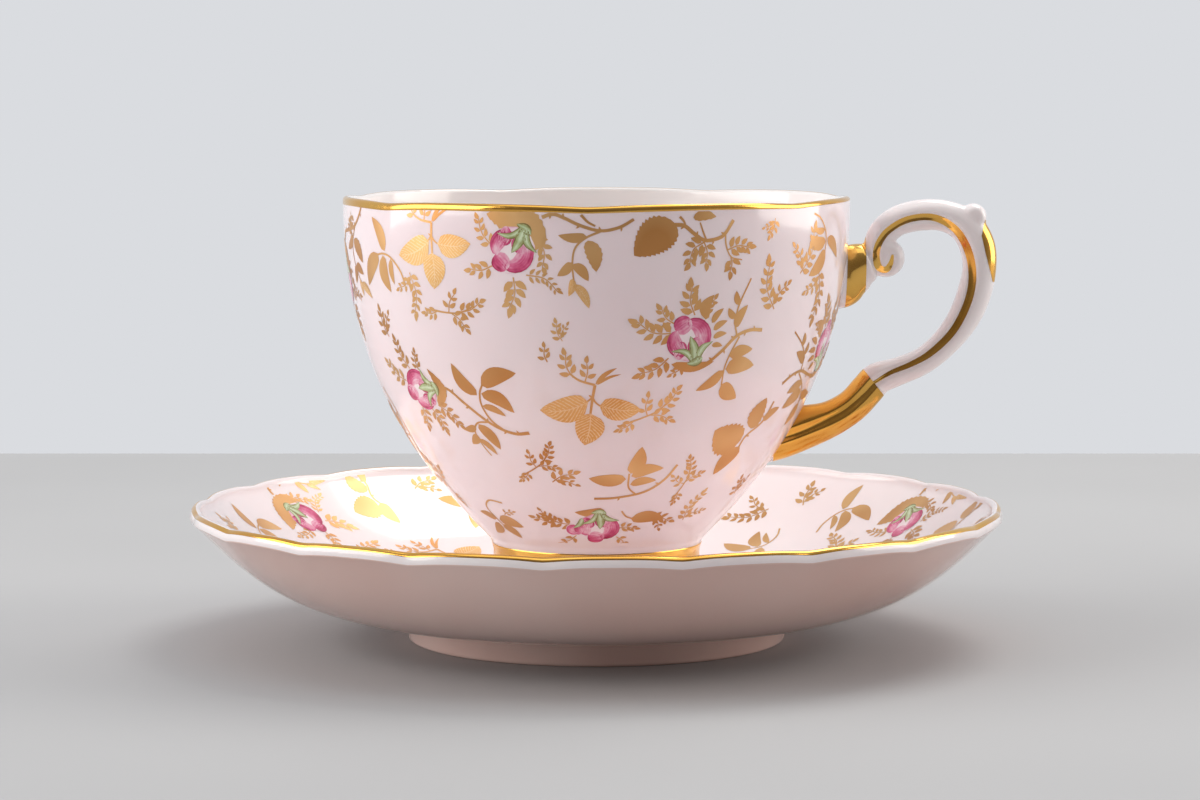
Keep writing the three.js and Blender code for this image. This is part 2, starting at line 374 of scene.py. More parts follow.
@dataclass(frozen=True)
class PrintedGold(Recipe):
    """Liquid gold printed from a transfer: thin and satin, with some of the china's warmth behind it."""

    name: str = "printed_gold"
    light: str = "#e5b67c"
    deep: str = "#c88c50"
    grain: float = 0.35  # mm between the specks of the print
    tones: float = 85.0  # changes of tone to a metre

    def _printed(
        self, tree: bpy.types.NodeTree, colour: bpy.types.NodeSocket, height: bpy.types.NodeSocket
    ) -> dict[str, object]:
        """Surface of any printed gold.

        Args:
            tree: the node tree.
            colour: its colour.
            height: its height.

        Returns:
            Values and links of the surface's sockets.
        """
        return {
            "Base_Color": colour,
            "Normal": add_node(tree, "Bump", Strength=0.6, Distance=0.02 * MM, Height=height),
            "Metallic": 0.72,
            "Roughness": 0.4,
            "Coat_Weight": 0.12,
            "Coat_Roughness": 0.2,
        }

    def surface(self, tree: bpy.types.NodeTree) -> dict[str, object]:
        """Specks of the print, and a slow drift where the gold went on thinner.

        Args:
            tree: the node tree.

        Returns:
            Values and links of the surface's sockets.
        """
        add = partial(add_node, tree)
        where = add("TexCoord", out=3)
        speck = add("TexNoise", Vector=where, Scale=1 / (self.grain * MM), Detail=2.0)
        wide = add("TexNoise", Vector=where, Scale=self.tones, Detail=1.0)
        return self._printed(
            tree, add("ValToRGB", {"stops": [(0.32, self.deep), (0.68, self.light)]}, Fac=wide), speck
        )


@dataclass(frozen=True)
class EngravedGold(PrintedGold):
    """Printed gold that keeps the engraver's dotted veins, which let the pale china through.

    The veins are drawn coarse, so that they show.
    """

    name: str = "printed_gold_engraved"
    light: str = "#edbe7c"
    deep: str = "#d99b54"
    veins: float = 11.0  # vein lines along a leaf
    stipple: float = 0.45  # mm between the dots that they are made of
    bare: str = "#f7e3c2"  # where the china shows

    def surface(self, tree: bpy.types.NodeTree) -> dict[str, object]:
        """Slanting veins either side of a rib, broken up by the stipple.

        Args:
            tree: the node tree.

        Returns:
            Values and links of the surface's sockets.
        """
        add = partial(add_node, tree)
        where = add("TexCoord", out=3)
        across = add("SeparateXYZ", out=1, Vector=add("UVMap", {"uv_map": "UVMap"}))
        along = across.node.outputs["X"]
        centred = add("Math", {"operation": "SUBTRACT"}, n0=across, n1=0.5)
        aside = add("Math", {"operation": "ABSOLUTE"}, n0=centred)
        slant = add("Math", {"operation": "MULTIPLY_ADD"}, n0=aside, n1=-0.55, n2=along)
        phase = add("Math", {"operation": "MULTIPLY"}, n0=slant, n1=self.veins * TURN)
        wave = add("Math", {"operation": "SINE"}, n0=phase)
        stipple = add("TexNoise", Vector=where, Scale=1 / (self.stipple * MM), Detail=1.0)
        broken = add("Math", {"operation": "MULTIPLY_ADD"}, n0=stipple, n1=2.4, n2=wave)
        lines = add("Math", {"operation": "GREATER_THAN"}, n0=broken, n1=1.75)
        rib = add("Math", {"operation": "LESS_THAN"}, n0=aside, n1=0.02)
        drawn = add("Math", {"operation": "MAXIMUM"}, n0=lines, n1=rib)
        wide = add("TexNoise", Vector=where, Scale=self.tones, Detail=1.0)
        plain = add("ValToRGB", {"stops": [(0.32, self.deep), (0.68, self.light)]}, Fac=wide)
        share = add("Math", {"operation": "MULTIPLY"}, n0=drawn, n1=0.5)
        colour = add("Mix", {"data_type": "RGBA"}, out=2, n0=share, n6=plain, n7=linear(self.bare))
        return self._printed(tree, colour, drawn)


@dataclass(frozen=True)
class PaintedEnamel(Recipe):
    """On-glaze enamel, washed on with a brush and fired: glossy, and deeper where the brush left more colour.

    The colours run across each shape's own UV map, pulled about by streaks that follow the brush.
    """

    name: str
    stops: tuple[tuple[float, str], ...]
    along: float  # how much of the wash runs along the shape and not across it
    outlined: bool = False
    wander: float = 0.75  # how far the streaks pull the colours about
    pools: float = 560.0  # pools of colour to a metre

    def surface(self, tree: bpy.types.NodeTree) -> dict[str, object]:
        """Colour across the shape, brushed and pooled.

        Args:
            tree: the node tree.

        Returns:
            Values and links of the surface's sockets.
        """
        add = partial(add_node, tree)
        drawn = add("UVMap", {"uv_map": "UVMap"})
        across = add("SeparateXYZ", out=1, Vector=drawn)
        along = across.node.outputs["X"]
        if self.outlined:
            centred = add("Math", {"operation": "SUBTRACT"}, n0=across, n1=0.5)
            aside = add("Math", {"operation": "ABSOLUTE"}, n0=centred)
            across = add("Math", {"operation": "MULTIPLY"}, n0=aside, n1=2.0)
        part = add("Math", {"operation": "MULTIPLY"}, n0=across, n1=1 - self.along)
        mixed = add("Math", {"operation": "MULTIPLY_ADD"}, n0=along, n1=self.along, n2=part)
        brushed = add("Mapping", Vector=drawn, Scale=(2.0, 8.0, 1.0))
        streak = add("TexNoise", Vector=brushed, Scale=1.0, Detail=3.0)
        pooled = add("TexNoise", Vector=add("TexCoord", out=3), Scale=self.pools, Detail=2.0)
        both = add("Math", {"operation": "ADD"}, n0=streak, n1=pooled)
        pull = add("Math", {"operation": "MULTIPLY_ADD"}, n0=both, n1=self.wander, n2=-self.wander)
        place = add("Math", {"operation": "ADD"}, n0=mixed, n1=pull)
        return {
            "Base_Color": add("ValToRGB", {"stops": self.stops}, Fac=place),
            "Normal": add("Bump", Strength=0.4, Distance=0.03 * MM, Height=streak),
            "Roughness": 0.18,
            "IOR": GLASS,
            "Coat_Weight": 0.3,
            "Coat_Roughness": 0.06,
        }


@dataclass(frozen=True)
class MattPaper(Recipe):
    """Seamless studio paper: flat, pale and without shine."""

    name: str = "studio_paper"
    stops: tuple[tuple[float, str], ...] = ((0.3, "#adaeb0"), (0.7, "#b3b4b6"))
    clouds: float = 6.0  # to a metre

    def surface(self, tree: bpy.types.NodeTree) -> dict[str, object]:
        """Very faint clouds.

        Args:
            tree: the node tree.

        Returns:
            Values and links of the surface's sockets.
        """
        add = partial(add_node, tree)
        cloud = add("TexNoise", Vector=add("TexCoord", out=3), Scale=self.clouds, Detail=2.0)
        return {"Base_Color": add("ValToRGB", {"stops": self.stops}, Fac=cloud), "Roughness": 0.75}


class Finish(Enum):
    """Every finish of the set."""

    PINK = BoneChinaGlaze("bone_china_pink_glaze", "#f6e9ec", "#f3e2e6")
    # The saucer's pink underside, made darker and warmer than the pink glaze: painted shade for the underside that
    # faces away from the lamps.
    ROSE = BoneChinaGlaze("bone_china_pink_glaze_painted_shade", "#e9cdc5", "#dfbab0")
    WHITE = BoneChinaGlaze("bone_china_white_glaze", "#f2edec", "#efe8e7")
    PALE = BoneChinaGlaze("bone_china_blush_glaze", "#f8f0f1", "#f5eaec")
    BURNISHED = BurnishedGold()
    PRINTED = PrintedGold()
    ENGRAVED = EngravedGold()
    BLUSH = PaintedEnamel(
        "rose_enamel_pale_wash", ((0.0, "#e9a9c2"), (0.35, "#f6e2e8"), (0.7, "#f8ecee"), (1.0, "#eec3d2")), 0.4
    )
    PETAL = PaintedEnamel(
        "rose_enamel_deep_wash",
        ((0.0, "#a3184a"), (0.22, "#c93b70"), (0.46, "#db6591"), (0.72, "#eba5be"), (1.0, "#f8dde5")),
        0.38,
        wander=1.0,
    )
    SEPAL = PaintedEnamel(
        "leaf_green_enamel", ((0.0, "#d6e4c2"), (0.42, "#b4c491"), (0.7, "#96955a"), (1.0, "#6f5f2a")), 0.15, True, 0.9
    )
    PAPER = MattPaper()

    @property
    def material(self) -> bpy.types.Material:
        """The material, made the first time that it is asked for."""
        return bpy.data.materials.get(self.value.name) or self.value.make()


# ---- Turned china ----


@dataclass(frozen=True)
class WavyEdge:
    """Notches that draw a turned edge down and in, fading away from the edge."""

    lobes: int
    first_notch: float  # degrees from +X
    drop: float
    inset: float
    fade: float
    away: Callable[[float, float], float]  # distance from the edge, from radius and height

    def warp(self, point: Vector) -> Vector:
        """Moves a point of the round shape to its place on the wavy one.

        Args:
            point: the point, in mm.

        Returns:
            Its place, in mm.
        """
        radius = math.hypot(point.x, point.y)
        share = max(self.away(radius, point.z) / self.fade, 0.0)
        if share >= 1:
            return point
        turn = (math.atan2(point.y, point.x) - math.radians(self.first_notch)) * self.lobes / 2
        # Rounded arches between soft notches.
        depth = (1.02 - math.sqrt(math.sin(turn) ** 2 + 0.012)) ** 1.5 * (1 - share) ** 2
        shrink = 1 - self.inset * depth / radius
        return Vector((point.x * shrink, point.y * shrink, point.z - self.drop * depth))


def turned(outline: Sequence[Pair], steps: int, edge: WavyEdge | None = None) -> bmesh.types.BMesh:
    """Spins an outline round +Z into a closed skin.

    Args:
        outline: radius and height of its points.
        steps: how many facets go round.
        edge: the waves of its edge, if it has any.

    Returns:
        The mesh, in mm, with its faces pointing outwards.
    """
    mesh = bmesh.new()
    start = math.radians(edge.first_notch if edge else 0)
    verts = [mesh.verts.new((r * math.cos(start), r * math.sin(start), z)) for r, z in outline]
    edges = [mesh.edges.new(pair) for pair in zip(verts, verts[1:])]
    bmesh.ops.spin(
        mesh, geom=verts + edges, cent=(0, 0, 0), axis=(0, 0, 1), angle=TURN, steps=steps, use_merge=True
    )
    bmesh.ops.remove_doubles(mesh, verts=mesh.verts, dist=SAME_POINT)
    if edge:
        for vert in mesh.verts:
            vert.co = edge.warp(vert.co)
    bmesh.ops.recalc_face_normals(mesh, faces=mesh.faces)
    return mesh


class Profile:
    """Outline measured along itself, from a zero point on it."""

    def __init__(self, points: Sequence[Pair], zero: float = 0.0) -> None:
        """Measures the outline.

        Args:
            points: radius and height of its points.
            zero: how far along the outline its zero point is.
        """
        self.points = [Vector(p) for p in points]
        self.marks = [0.0]
        for a, b in zip(self.points, self.points[1:]):
            self.marks.append(self.marks[-1] + (b - a).length)
        self.zero = zero

    def at(self, distance: float) -> tuple[Vector, Vector]:
        """Point and side direction at a distance.

        Args:
            distance: distance along the outline from its zero point, in mm.

        Returns:
            The point as radius and height, and the direction to the left of the way it runs.
        """
        place = min(max(distance + self.zero, 0.0), self.marks[-1] - 1e-6)
        low, high = 0, len(self.marks) - 1
        while high - low > 1:
            middle = (low + high) // 2
            low, high = (middle, high) if self.marks[middle] <= place else (low, middle)
        share = (place - self.marks[low]) / (self.marks[low + 1] - self.marks[low])
        return self.points[low].lerp(self.points[low + 1], share), self._side(low).lerp(self._side(low + 1), share)

    def _side(self, index: int) -> Vector:
        """Direction to the left of the outline at one of its points."""
        a, b = self.points[max(index - 1, 0)], self.points[min(index + 1, len(self.points) - 1)]
        return left_of((b - a).normalized())


@dataclass
class Wall:
    """A turned wall that gold and enamel are laid on.

    Places on it are an azimuth, in degrees to the right of the front (-Y), and a depth, in mm from its edge.
    """

    profile: Profile
    edge: WavyEdge
    side: int  # 1 where the wall is seen from outside, -1 where from inside

    def place(self, azimuth: float, depth: float, lift: float) -> Vector:
        """Point on the wall.

        Args:
            azimuth: degrees round from the front.
            depth: mm from the edge along the wall.
            lift: mm that it stands off the wall.

        Returns:
            The point, in mm.
        """
        (radius, height), (out, up) = self.profile.at(depth)
        angle = math.radians(azimuth)
        across, along = math.sin(angle), -math.cos(angle)
        base = self.edge.warp(Vector((radius * across, radius * along, height)))
        return base + Vector((out * across, out * along, up)) * (lift * self.side)

    def radius(self, depth: float) -> float:
        """Radius of the wall at a depth, in mm."""
        return self.profile.at(depth)[0].x

    def band(self, first: float, width: Callable[[float], float], steps: int) -> bmesh.types.BMesh:
        """A painted line that goes all the way round.

        Args:
            first: depth that it starts at.
            width: its width at each azimuth.
            steps: how many facets go round.

        Returns:
            The mesh, in mm, with its two edges sunk into the glaze.
        """
        mesh = bmesh.new()
        bmesh.ops.create_grid(mesh, x_segments=steps, y_segments=8, size=1.0)
        for vert in mesh.verts:
            azimuth, share = 180 * vert.co.x + 90 + self.edge.first_notch, (1 - vert.co.y) / 2
            raised = GOLD_LIFT if 0.01 < share < 0.99 else -GOLD_LIFT
            vert.co = self.place(azimuth, first + width(azimuth) * share, raised)
        bmesh.ops.remove_doubles(mesh, verts=mesh.verts, dist=SAME_POINT)
        if self.side < 0:
            bmesh.ops.reverse_faces(mesh, faces=mesh.faces)
        return mesh


# ---- Decoration, drawn flat as on a transfer sheet ----


class Ink(Enum):
    """What a shape is laid down in: its sheet, its finish's place on that sheet, and its height off the glaze in mm."""

    GOLD = ("gold", 0, 0.03)
    ENGRAVED = ("gold", 1, 0.034)
    BLUSH = ("enamel", 0, 0.04)
    PETAL = ("enamel", 1, 0.048)
    SEPAL = ("enamel", 2, 0.056)


SHEETS = {"gold": (Finish.PRINTED, Finish.ENGRAVED), "enamel": (Finish.BLUSH, Finish.PETAL, Finish.SEPAL)}


class Transfer:
    """A flat drawing in mm, with its gold and its enamel on sheets of their own."""

    def __init__(self) -> None:
        """Starts with empty sheets."""
        self.sheets = {name: bmesh.new() for name in SHEETS}
        for sheet in self.sheets.values():
            sheet.loops.layers.uv.new("UVMap")

    def patch(self, columns: int, rows: int, ink: Ink, shape: Callable[[float, float], Vector]) -> None:
        """Adds one filled shape.

        Args:
            columns: facets along it.
            rows: facets across it.
            ink: what it is laid down in.
            shape: the place of a point, from its share along (0 to 1) and across (-1 to 1).
        """
        name, slot, layer = ink.value
        sheet = self.sheets[name]
        verts = bmesh.ops.create_grid(sheet, x_segments=columns, y_segments=rows, size=1.0, calc_uvs=True)["verts"]
        for vert in verts:
            x, y = shape((vert.co.x + 1) / 2, vert.co.y)
            vert.co = (x, y, layer)
        for face in {face for vert in verts for face in vert.link_faces}:
            face.material_index = slot
        bmesh.ops.remove_doubles(sheet, verts=verts, dist=1e-5)

    def ribbon(self, route: Sequence[Pair], first: float, last: float) -> None:
        """Adds a stem, in gold.

        Args:
            route: points that it runs through.
            first: its width at the start.
            last: its width at the end.
        """

        def shape(t: float, v: float) -> Vector:
            """Place of a point of the stem.

            Args:
                t: its share along.
                v: its share across, from -1 to 1.

            Returns:
                The place, in mm.
            """
            return through(route, t) + left_of(heading(route, t)) * (v * (first + (last - first) * t) / 2)

        self.patch(5 * (len(route) - 1), 1, Ink.GOLD, shape)


@dataclass(frozen=True)
class Leaf:
    """A pointed leaf, widest nearer its stalk."""

    base: Pair
    tip: Pair
    width: float
    teeth: int = 0
    bow: float = 0.08  # how far its middle bends aside, as a share of its length
    ink: Ink = Ink.GOLD
    columns: int = 9
    rows: int = 4

    def draw(self, transfer: Transfer) -> None:
        """Adds the leaf to a drawing.

        Args:
            transfer: the drawing.
        """
        start, way = Vector(self.base), Vector(self.tip) - Vector(self.base)
        aside = left_of(way)

        def shape(t: float, v: float) -> Vector:
            """Place of a point of the leaf.

            Args:
                t: its share along.
                v: its share across, from -1 to 1.

            Returns:
                The place, in mm.
            """
            spread = t**0.55 * (1 - t) ** 0.85 / 0.378  # about 1 at its widest
            if self.teeth and abs(v) > 0.9:
                spread *= 1.05 - 0.2 * ((t * self.teeth + 0.01) % 1.0)
            middle = start + way * t + aside * (self.bow * math.sin(math.pi * t))
            return middle + aside.normalized() * (v * spread * self.width / 2)

        transfer.patch(max(self.columns, 3 * self.teeth), self.rows, self.ink, shape)


@dataclass(frozen=True)
class Stem:
    """A stem with small thorns on alternate sides."""

    route: tuple[Pair, ...]
    width: float = 0.5
    end: float = 0.36
    thorns: int = 0

    def draw(self, transfer: Transfer) -> None:
        """Adds the stem to a drawing.

        Args:
            transfer: the drawing.
        """
        transfer.ribbon(self.route, self.width, self.end)
        for i in range(self.thorns):
            t = (i + 0.7) / (self.thorns + 0.5)
            way = heading(self.route, t)
            aside = left_of(way) * (1 if i % 2 else -1)
            foot = through(self.route, t)
            tip = foot + aside * 0.75 - way * 0.35
            Leaf(tuple(foot), tuple(tip), 0.34, columns=3, rows=1).draw(transfer)


@dataclass(frozen=True)
class Fern:
    """A row of small leaflets in pairs along a curved rib, with one at its tip."""

    base: Pair
    tip: Pair
    pairs: int = 4
    reach: float = 1.9  # length of its leaflets, before they are drawn a quarter larger
    bend: float = 0.12
    fat: float = 0.43  # width of a leaflet, as a share of its length

    def draw(self, transfer: Transfer) -> None:
        """Adds the fern to a drawing.

        Args:
            transfer: the drawing.
        """
        start, way = Vector(self.base), Vector(self.tip) - Vector(self.base)
        middle = start + way / 2 + left_of(way) * self.bend
        rib = (tuple(start), tuple(middle), tuple(start + way))
        transfer.ribbon(rib, 0.24, 0.16)
        for i in range(self.pairs):
            t = (i + 0.45) / (self.pairs + 0.35)
            foot = through(rib, t)
            run = heading(rib, t, 0.05)
            long = 1.24 * self.reach * (1 - 0.36 * t)
            for hand in (-1, 1):
                lean = math.radians(hand * (52 - 16 * t))
                out = run * math.cos(lean) + left_of(run) * math.sin(lean)
                ends = tuple(foot + out * 0.2), tuple(foot + out * long)
                Leaf(*ends, long * self.fat, columns=4, rows=2, bow=0.05 * hand).draw(transfer)
        last = through(rib, 0.94)
        ends = tuple(last), tuple(last + way.normalized() * self.reach * 0.9)
        Leaf(*ends, self.reach * self.fat * 1.1, columns=4, rows=2).draw(transfer)


@dataclass(frozen=True)
class Bud:
    """A half-open rosebud, painted as a few overlapping washes between green sepals, with its stalk at the bottom."""

    at: Pair = (0.0, 0.0)
    lean: float = 0.0  # degrees that its tip leans to the left
    size: float = 1.0
    hand: int = 1  # 1 with its large petal on the left, -1 on the right
    twin: bool = False  # a second, smaller bud beside it

    def _spot(self, x: float, y: float) -> Vector:
        """Place of a point of the bud on the drawing."""
        turn = Matrix.Rotation(math.radians(self.lean), 2)
        return Vector(self.at) + turn @ Vector((x * self.hand, y)) * self.size

    def _wash(self, transfer: Transfer, centre: Pair, wide: float, tall: float, lean: float, ink: Ink) -> None:
        """Adds a round petal.

        Args:
            transfer: the drawing.
            centre: its middle.
            wide: its width.
            tall: its height.
            lean: degrees that it leans to the left; its deepest colour is on the side that starts on the right.
            ink: what it is laid down in.
        """
        own = Matrix.Rotation(math.radians(lean), 2)

        def shape(t: float, v: float) -> Vector:
            """Place of a point of the petal.

            Args:
                t: its share along.
                v: its share across, from -1 to 1.

            Returns:
                The place, in mm.
            """
            up = -math.cos(math.pi * t)
            half = math.sqrt(max(1 - up * up, 0)) * (1 + 0.12 * math.sin(5 * t + 3 * centre[0]))
            drawn = own @ Vector((-v * half * wide / 2, up * tall / 2))
            return self._spot(centre[0] + drawn.x, centre[1] + drawn.y)

        transfer.patch(8, 6, ink, shape)

    def _crescent(
        self, transfer: Transfer, centre: Pair, radius: float, first: float, last: float, width: float
    ) -> None:
        """Adds a petal that wraps round the bud, deepest along its outer edge.

        Args:
            transfer: the drawing.
            centre: the middle that it wraps round.
            radius: radius of its middle line.
            first: angle of its first tip, in degrees from the right.
            last: angle of its last tip.
            width: its width at the middle.
        """

        def shape(t: float, v: float) -> Vector:
            """Place of a point of the petal.

            Args:
                t: its share along.
                v: its share across, from -1 to 1.

            Returns:
                The place, in mm.
            """
            angle = math.radians(first + (last - first) * t)
            out = radius - v * width / 2 * math.sin(math.pi * t) ** 0.6
            return self._spot(centre[0] + out * math.cos(angle), centre[1] + out * math.sin(angle))

        transfer.patch(12, 6, Ink.PETAL, shape)

    def _sepal(self, transfer: Transfer, base: Pair, tip: Pair, width: float, bow: float) -> None:
        """Adds a sepal.

        Args:
            transfer: the drawing.
            base: its foot.
            tip: its tip.
            width: its width.
            bow: how far its middle bends aside, as a share of its length.
        """
        ends = [tuple(self._spot(*p)) for p in (base, tip)]
        Leaf(ends[0], ends[1], width * self.size, bow=bow * self.hand, ink=Ink.SEPAL, columns=8, rows=4).draw(transfer)

    def draw(self, transfer: Transfer) -> None:
        """Adds the bud to a drawing.

        Args:
            transfer: the drawing.
        """
        self._wash(transfer, (0.0, 0.1), 7.0, 8.0, 0, Ink.BLUSH)
        self._crescent(transfer, (0.4, 0.1), 2.75, 92, 262, 2.9)
        self._crescent(transfer, (0.2, 0.2), 2.55, -70, 52, 2.7)
        self._wash(transfer, (0.6, 2.75), 3.6, 3.1, 78, Ink.PETAL)
        self._wash(transfer, (-0.6, -1.7), 2.9, 3.4, 30, Ink.PETAL)
        self._wash(transfer, (2.2, -1.3), 2.3, 3.2, 205, Ink.PETAL)
        if self.twin:
            self._wash(transfer, (4.5, 0.6), 3.3, 3.6, 20, Ink.BLUSH)
            self._crescent(transfer, (4.3, 0.6), 1.1, -90, 110, 1.5)
            self._wash(transfer, (3.9, 0.9), 1.6, 2.4, 10, Ink.PETAL)
            self._sepal(transfer, (3.2, -2.6), (4.8, 0.2), 1.2, 0.15)
        self._sepal(transfer, (0.2, -4.2), (-0.1, 0.5), 1.7, 0.06)
        self._sepal(transfer, (-0.2, -4.3), (-3.7, -1.9), 1.3, -0.2)
        self._sepal(transfer, (0.5, -4.3), (3.7, -0.9), 1.1, 0.22)
        self._sepal(transfer, (-1.3, -3.9), (1.6, -4.0), 1.5, -0.1)


Shape = Leaf | Stem | Fern | Bud


@dataclass(frozen=True)
class Motif:
    """A group of shapes drawn together."""

    shapes: tuple[Shape, ...]

    def draw(self, transfer: Transfer) -> None:
        """Adds every shape to a drawing."""
        for shape in self.shapes:
            shape.draw(transfer)


BUD_AND_BRANCH = Motif((
    Leaf((5.5, 1.2), (-4.4, 6.0), 5.6, teeth=11, bow=-0.12),
    Stem(((5.0, 5.6), (6.8, 6.2), (8.8, 5.5), (11.2, 4.4), (14.4, 3.5), (17.4, 4.0), (19.8, 5.3)), 0.62, 0.5, thorns=5),
    Stem(((13.6, 4.3), (12.4, 5.0), (11.3, 6.2)), 0.34, 0.5),
    Stem(((14.4, 3.4), (12.0, 2.3), (10.3, 0.6), (9.8, -2.0), (10.0, -5.4)), 0.4, 0.26),
    Leaf((12.2, 2.6), (7.6, 2.7), 1.6), Leaf((12.4, 1.9), (13.6, -3.2), 2.6, teeth=6),
    Leaf((9.7, -1.7), (7.3, -3.9), 1.5), Leaf((10.0, -1.9), (12.3, -4.7), 1.7),
    Leaf((9.8, -4.3), (9.0, -7.2), 1.2, ink=Ink.ENGRAVED), Leaf((10.1, -5.2), (12.2, -9.2), 1.6, ink=Ink.ENGRAVED),
    Fern((-3.4, 0.8), (-5.9, 5.4), 4, 1.5), Fern((-3.6, -2.4), (-7.6, -3.0), 3, 1.7),
    Fern((0.0, -4.2), (-1.0, -9.4), 4, 2.2), Fern((2.2, -3.8), (7.4, -6.6), 6, 1.3, 0.16, 0.36),
    Fern((3.6, 2.4), (4.9, -2.8), 4, 1.7, 0.2), Bud((0.0, 0.2), 147, 1.0),
))
GREAT_LEAF_BRANCH = Motif((
    Leaf((2.9, 2.1), (-3.9, -2.9), 5.9, teeth=12, bow=-0.06),
    Stem(
        ((2.7, 2.0), (4.4, 1.8), (6.1, 0.5), (8.0, -0.6), (10.4, -0.3), (11.7, 0.5), (13.2, 2.6)), 0.66, 0.56, thorns=4
    ),
    Stem(((4.6, 1.7), (4.3, 2.5), (3.6, 3.3)), 0.3, 0.44), Stem(((8.2, -0.5), (7.6, 0.9), (7.1, 2.3)), 0.34, 0.26),
    Leaf((5.9, 3.1), (10.0, 3.2), 1.7, teeth=4), Fern((8.0, -0.8), (5.4, -4.4), 4, 1.9, -0.2),
    Fern((7.9, -1.0), (8.2, -4.4), 3, 1.7), Stem(((11.7, 0.4), (11.9, -1.6), (12.9, -3.4), (15.0, -3.9)), 0.3, 0.2),
    Fern((12.2, -2.2), (16.6, -2.0), 4, 1.8), Fern((12.8, -3.3), (12.7, -5.8), 2, 1.8),
))
BUD_AND_LEAVES = Motif((
    Leaf((2.4, 3.2), (3.6, 7.3), 2.0, bow=0.2), Leaf((3.6, 2.6), (5.6, 5.0), 1.1), Leaf((4.0, 1.4), (6.5, 2.9), 1.1),
    Leaf((4.1, 0.1), (6.6, 0.8), 1.0), Leaf((4.0, -1.2), (6.0, -1.4), 0.9),
    Leaf((-2.8, -4.3), (4.8, -4.0), 1.7, bow=-0.1),
    Stem(((2.6, -4.3), (3.8, -4.1), (6.1, -2.2), (8.6, 0.2), (11.3, 1.1), (13.9, 1.0)), 0.5, 0.62, thorns=6),
    Stem(((9.2, 0.1), (7.9, -2.5), (7.0, -5.2), (6.9, -8.4)), 0.34, 0.26), Leaf((7.7, -3.3), (12.3, -2.2), 2.1),
    Leaf((7.2, -5.5), (13.1, -5.1), 2.9), Leaf((6.8, -5.7), (2.2, -9.2), 1.8),
    Leaf((6.9, -8.2), (10.4, -11.0), 2.8, bow=-0.08),
    Stem(((8.6, 0.4), (8.1, 2.4), (8.5, 5.4), (10.6, 9.8)), 0.34, 0.3), Leaf((8.1, 1.6), (10.3, 5.4), 1.6),
    Leaf((8.6, 5.4), (7.8, 7.8), 1.2), Leaf((8.0, 3.2), (6.5, 5.0), 1.2),
    Fern((-2.8, 1.0), (-9.4, 3.2), 5, 2.1, 0.14), Fern((-3.0, 2.6), (-5.4, 5.2), 3, 1.7),
    Fern((-3.4, -3.2), (-8.0, -5.9), 4, 1.9), Fern((0.4, 4.0), (-0.4, 8.8), 4, 2.1),
    Fern((2.0, 3.8), (3.9, 6.6), 3, 1.4), Fern((-0.8, -4.6), (-2.6, -6.0), 2, 1.2), Bud((0.0, 0.0), 20, 1.0, -1),
))
ENGRAVED_TRIO = Motif((
    Leaf((-0.4, -3.1), (-8.4, -4.7), 4.7, bow=0.1, ink=Ink.ENGRAVED, rows=6),
    Leaf((1.4, -3.8), (8.2, -4.6), 4.0, bow=-0.06, ink=Ink.ENGRAVED, rows=6),
    Leaf((-0.1, -5.2), (-1.1, -11.4), 4.7, bow=0.05, ink=Ink.ENGRAVED, rows=6),
    Stem(((0.7, 0.0), (0.3, -2.4), (-0.1, -5.4)), 0.5, 0.4, thorns=1),
    Stem(((0.3, -2.3), (0.8, -3.2), (1.6, -3.9)), 0.34, 0.3),
    Stem(((0.3, -2.1), (-0.1, -2.6), (-0.7, -3.1)), 0.34, 0.3),
    Stem(((0.7, 0.0), (-1.8, 0.8), (-3.5, 2.1)), 0.44, 0.3), Fern((-2.8, 1.3), (-4.0, 5.4), 3, 1.7),
    Fern((-0.9, 0.6), (-0.6, 4.0), 2, 1.6, -0.08), Leaf((0.8, 0.1), (4.3, 3.0), 0.75),
    Leaf((1.0, 0.0), (5.0, 1.9), 0.5), Fern((-7.0, 4.0), (-7.4, 6.6), 2, 1.3),
))
LEAF_FAN = Motif((
    Leaf((-0.6, -0.6), (-4.6, 5.0), 2.4, bow=0.1), Leaf((0.6, 1.3), (7.4, 3.7), 3.0, bow=0.1),
    Leaf((0.3, -0.2), (5.6, -3.6), 2.6, bow=0.14), Leaf((0.0, -2.5), (3.9, -4.3), 1.3),
    Stem(((0.9, 1.5), (0.0, -0.2), (-0.2, -2.4), (0.9, -5.2), (2.8, -7.0)), 0.32, 0.4),
))
LYING_BUD = Motif((
    Leaf((3.6, -3.0), (3.4, 3.9), 2.4, teeth=7, bow=-0.25),
    Stem(((3.2, 0.9), (6.8, 0.4), (9.8, -2.4), (13.3, -5.8), (16.6, -7.4), (19.4, -7.2)), 0.5, 0.62, thorns=6),
    Stem(((12.7, -5.4), (10.5, -5.7), (9.2, -7.4), (9.4, -10.0), (10.1, -12.2)), 0.34, 0.26),
    Leaf((10.6, -5.9), (12.6, -10.8), 2.3), Leaf((9.8, -6.4), (7.0, -7.2), 1.3), Leaf((9.3, -8.0), (7.4, -10.0), 1.5),
    Leaf((9.4, -8.8), (11.4, -12.0), 1.2), Fern((-1.2, 3.6), (-3.4, 8.6), 4, 1.7),
    Fern((1.2, 3.4), (1.4, 6.6), 3, 1.3), Fern((-3.4, 1.2), (-8.2, 4.4), 4, 1.8),
    Fern((-1.4, -3.4), (-2.2, -7.2), 3, 1.7), Fern((1.2, -3.6), (2.4, -7.8), 4, 1.6),
    Fern((3.2, -2.8), (6.6, -6.6), 4, 1.7), Bud((0.0, 0.0), 96, 0.96, -1),
))
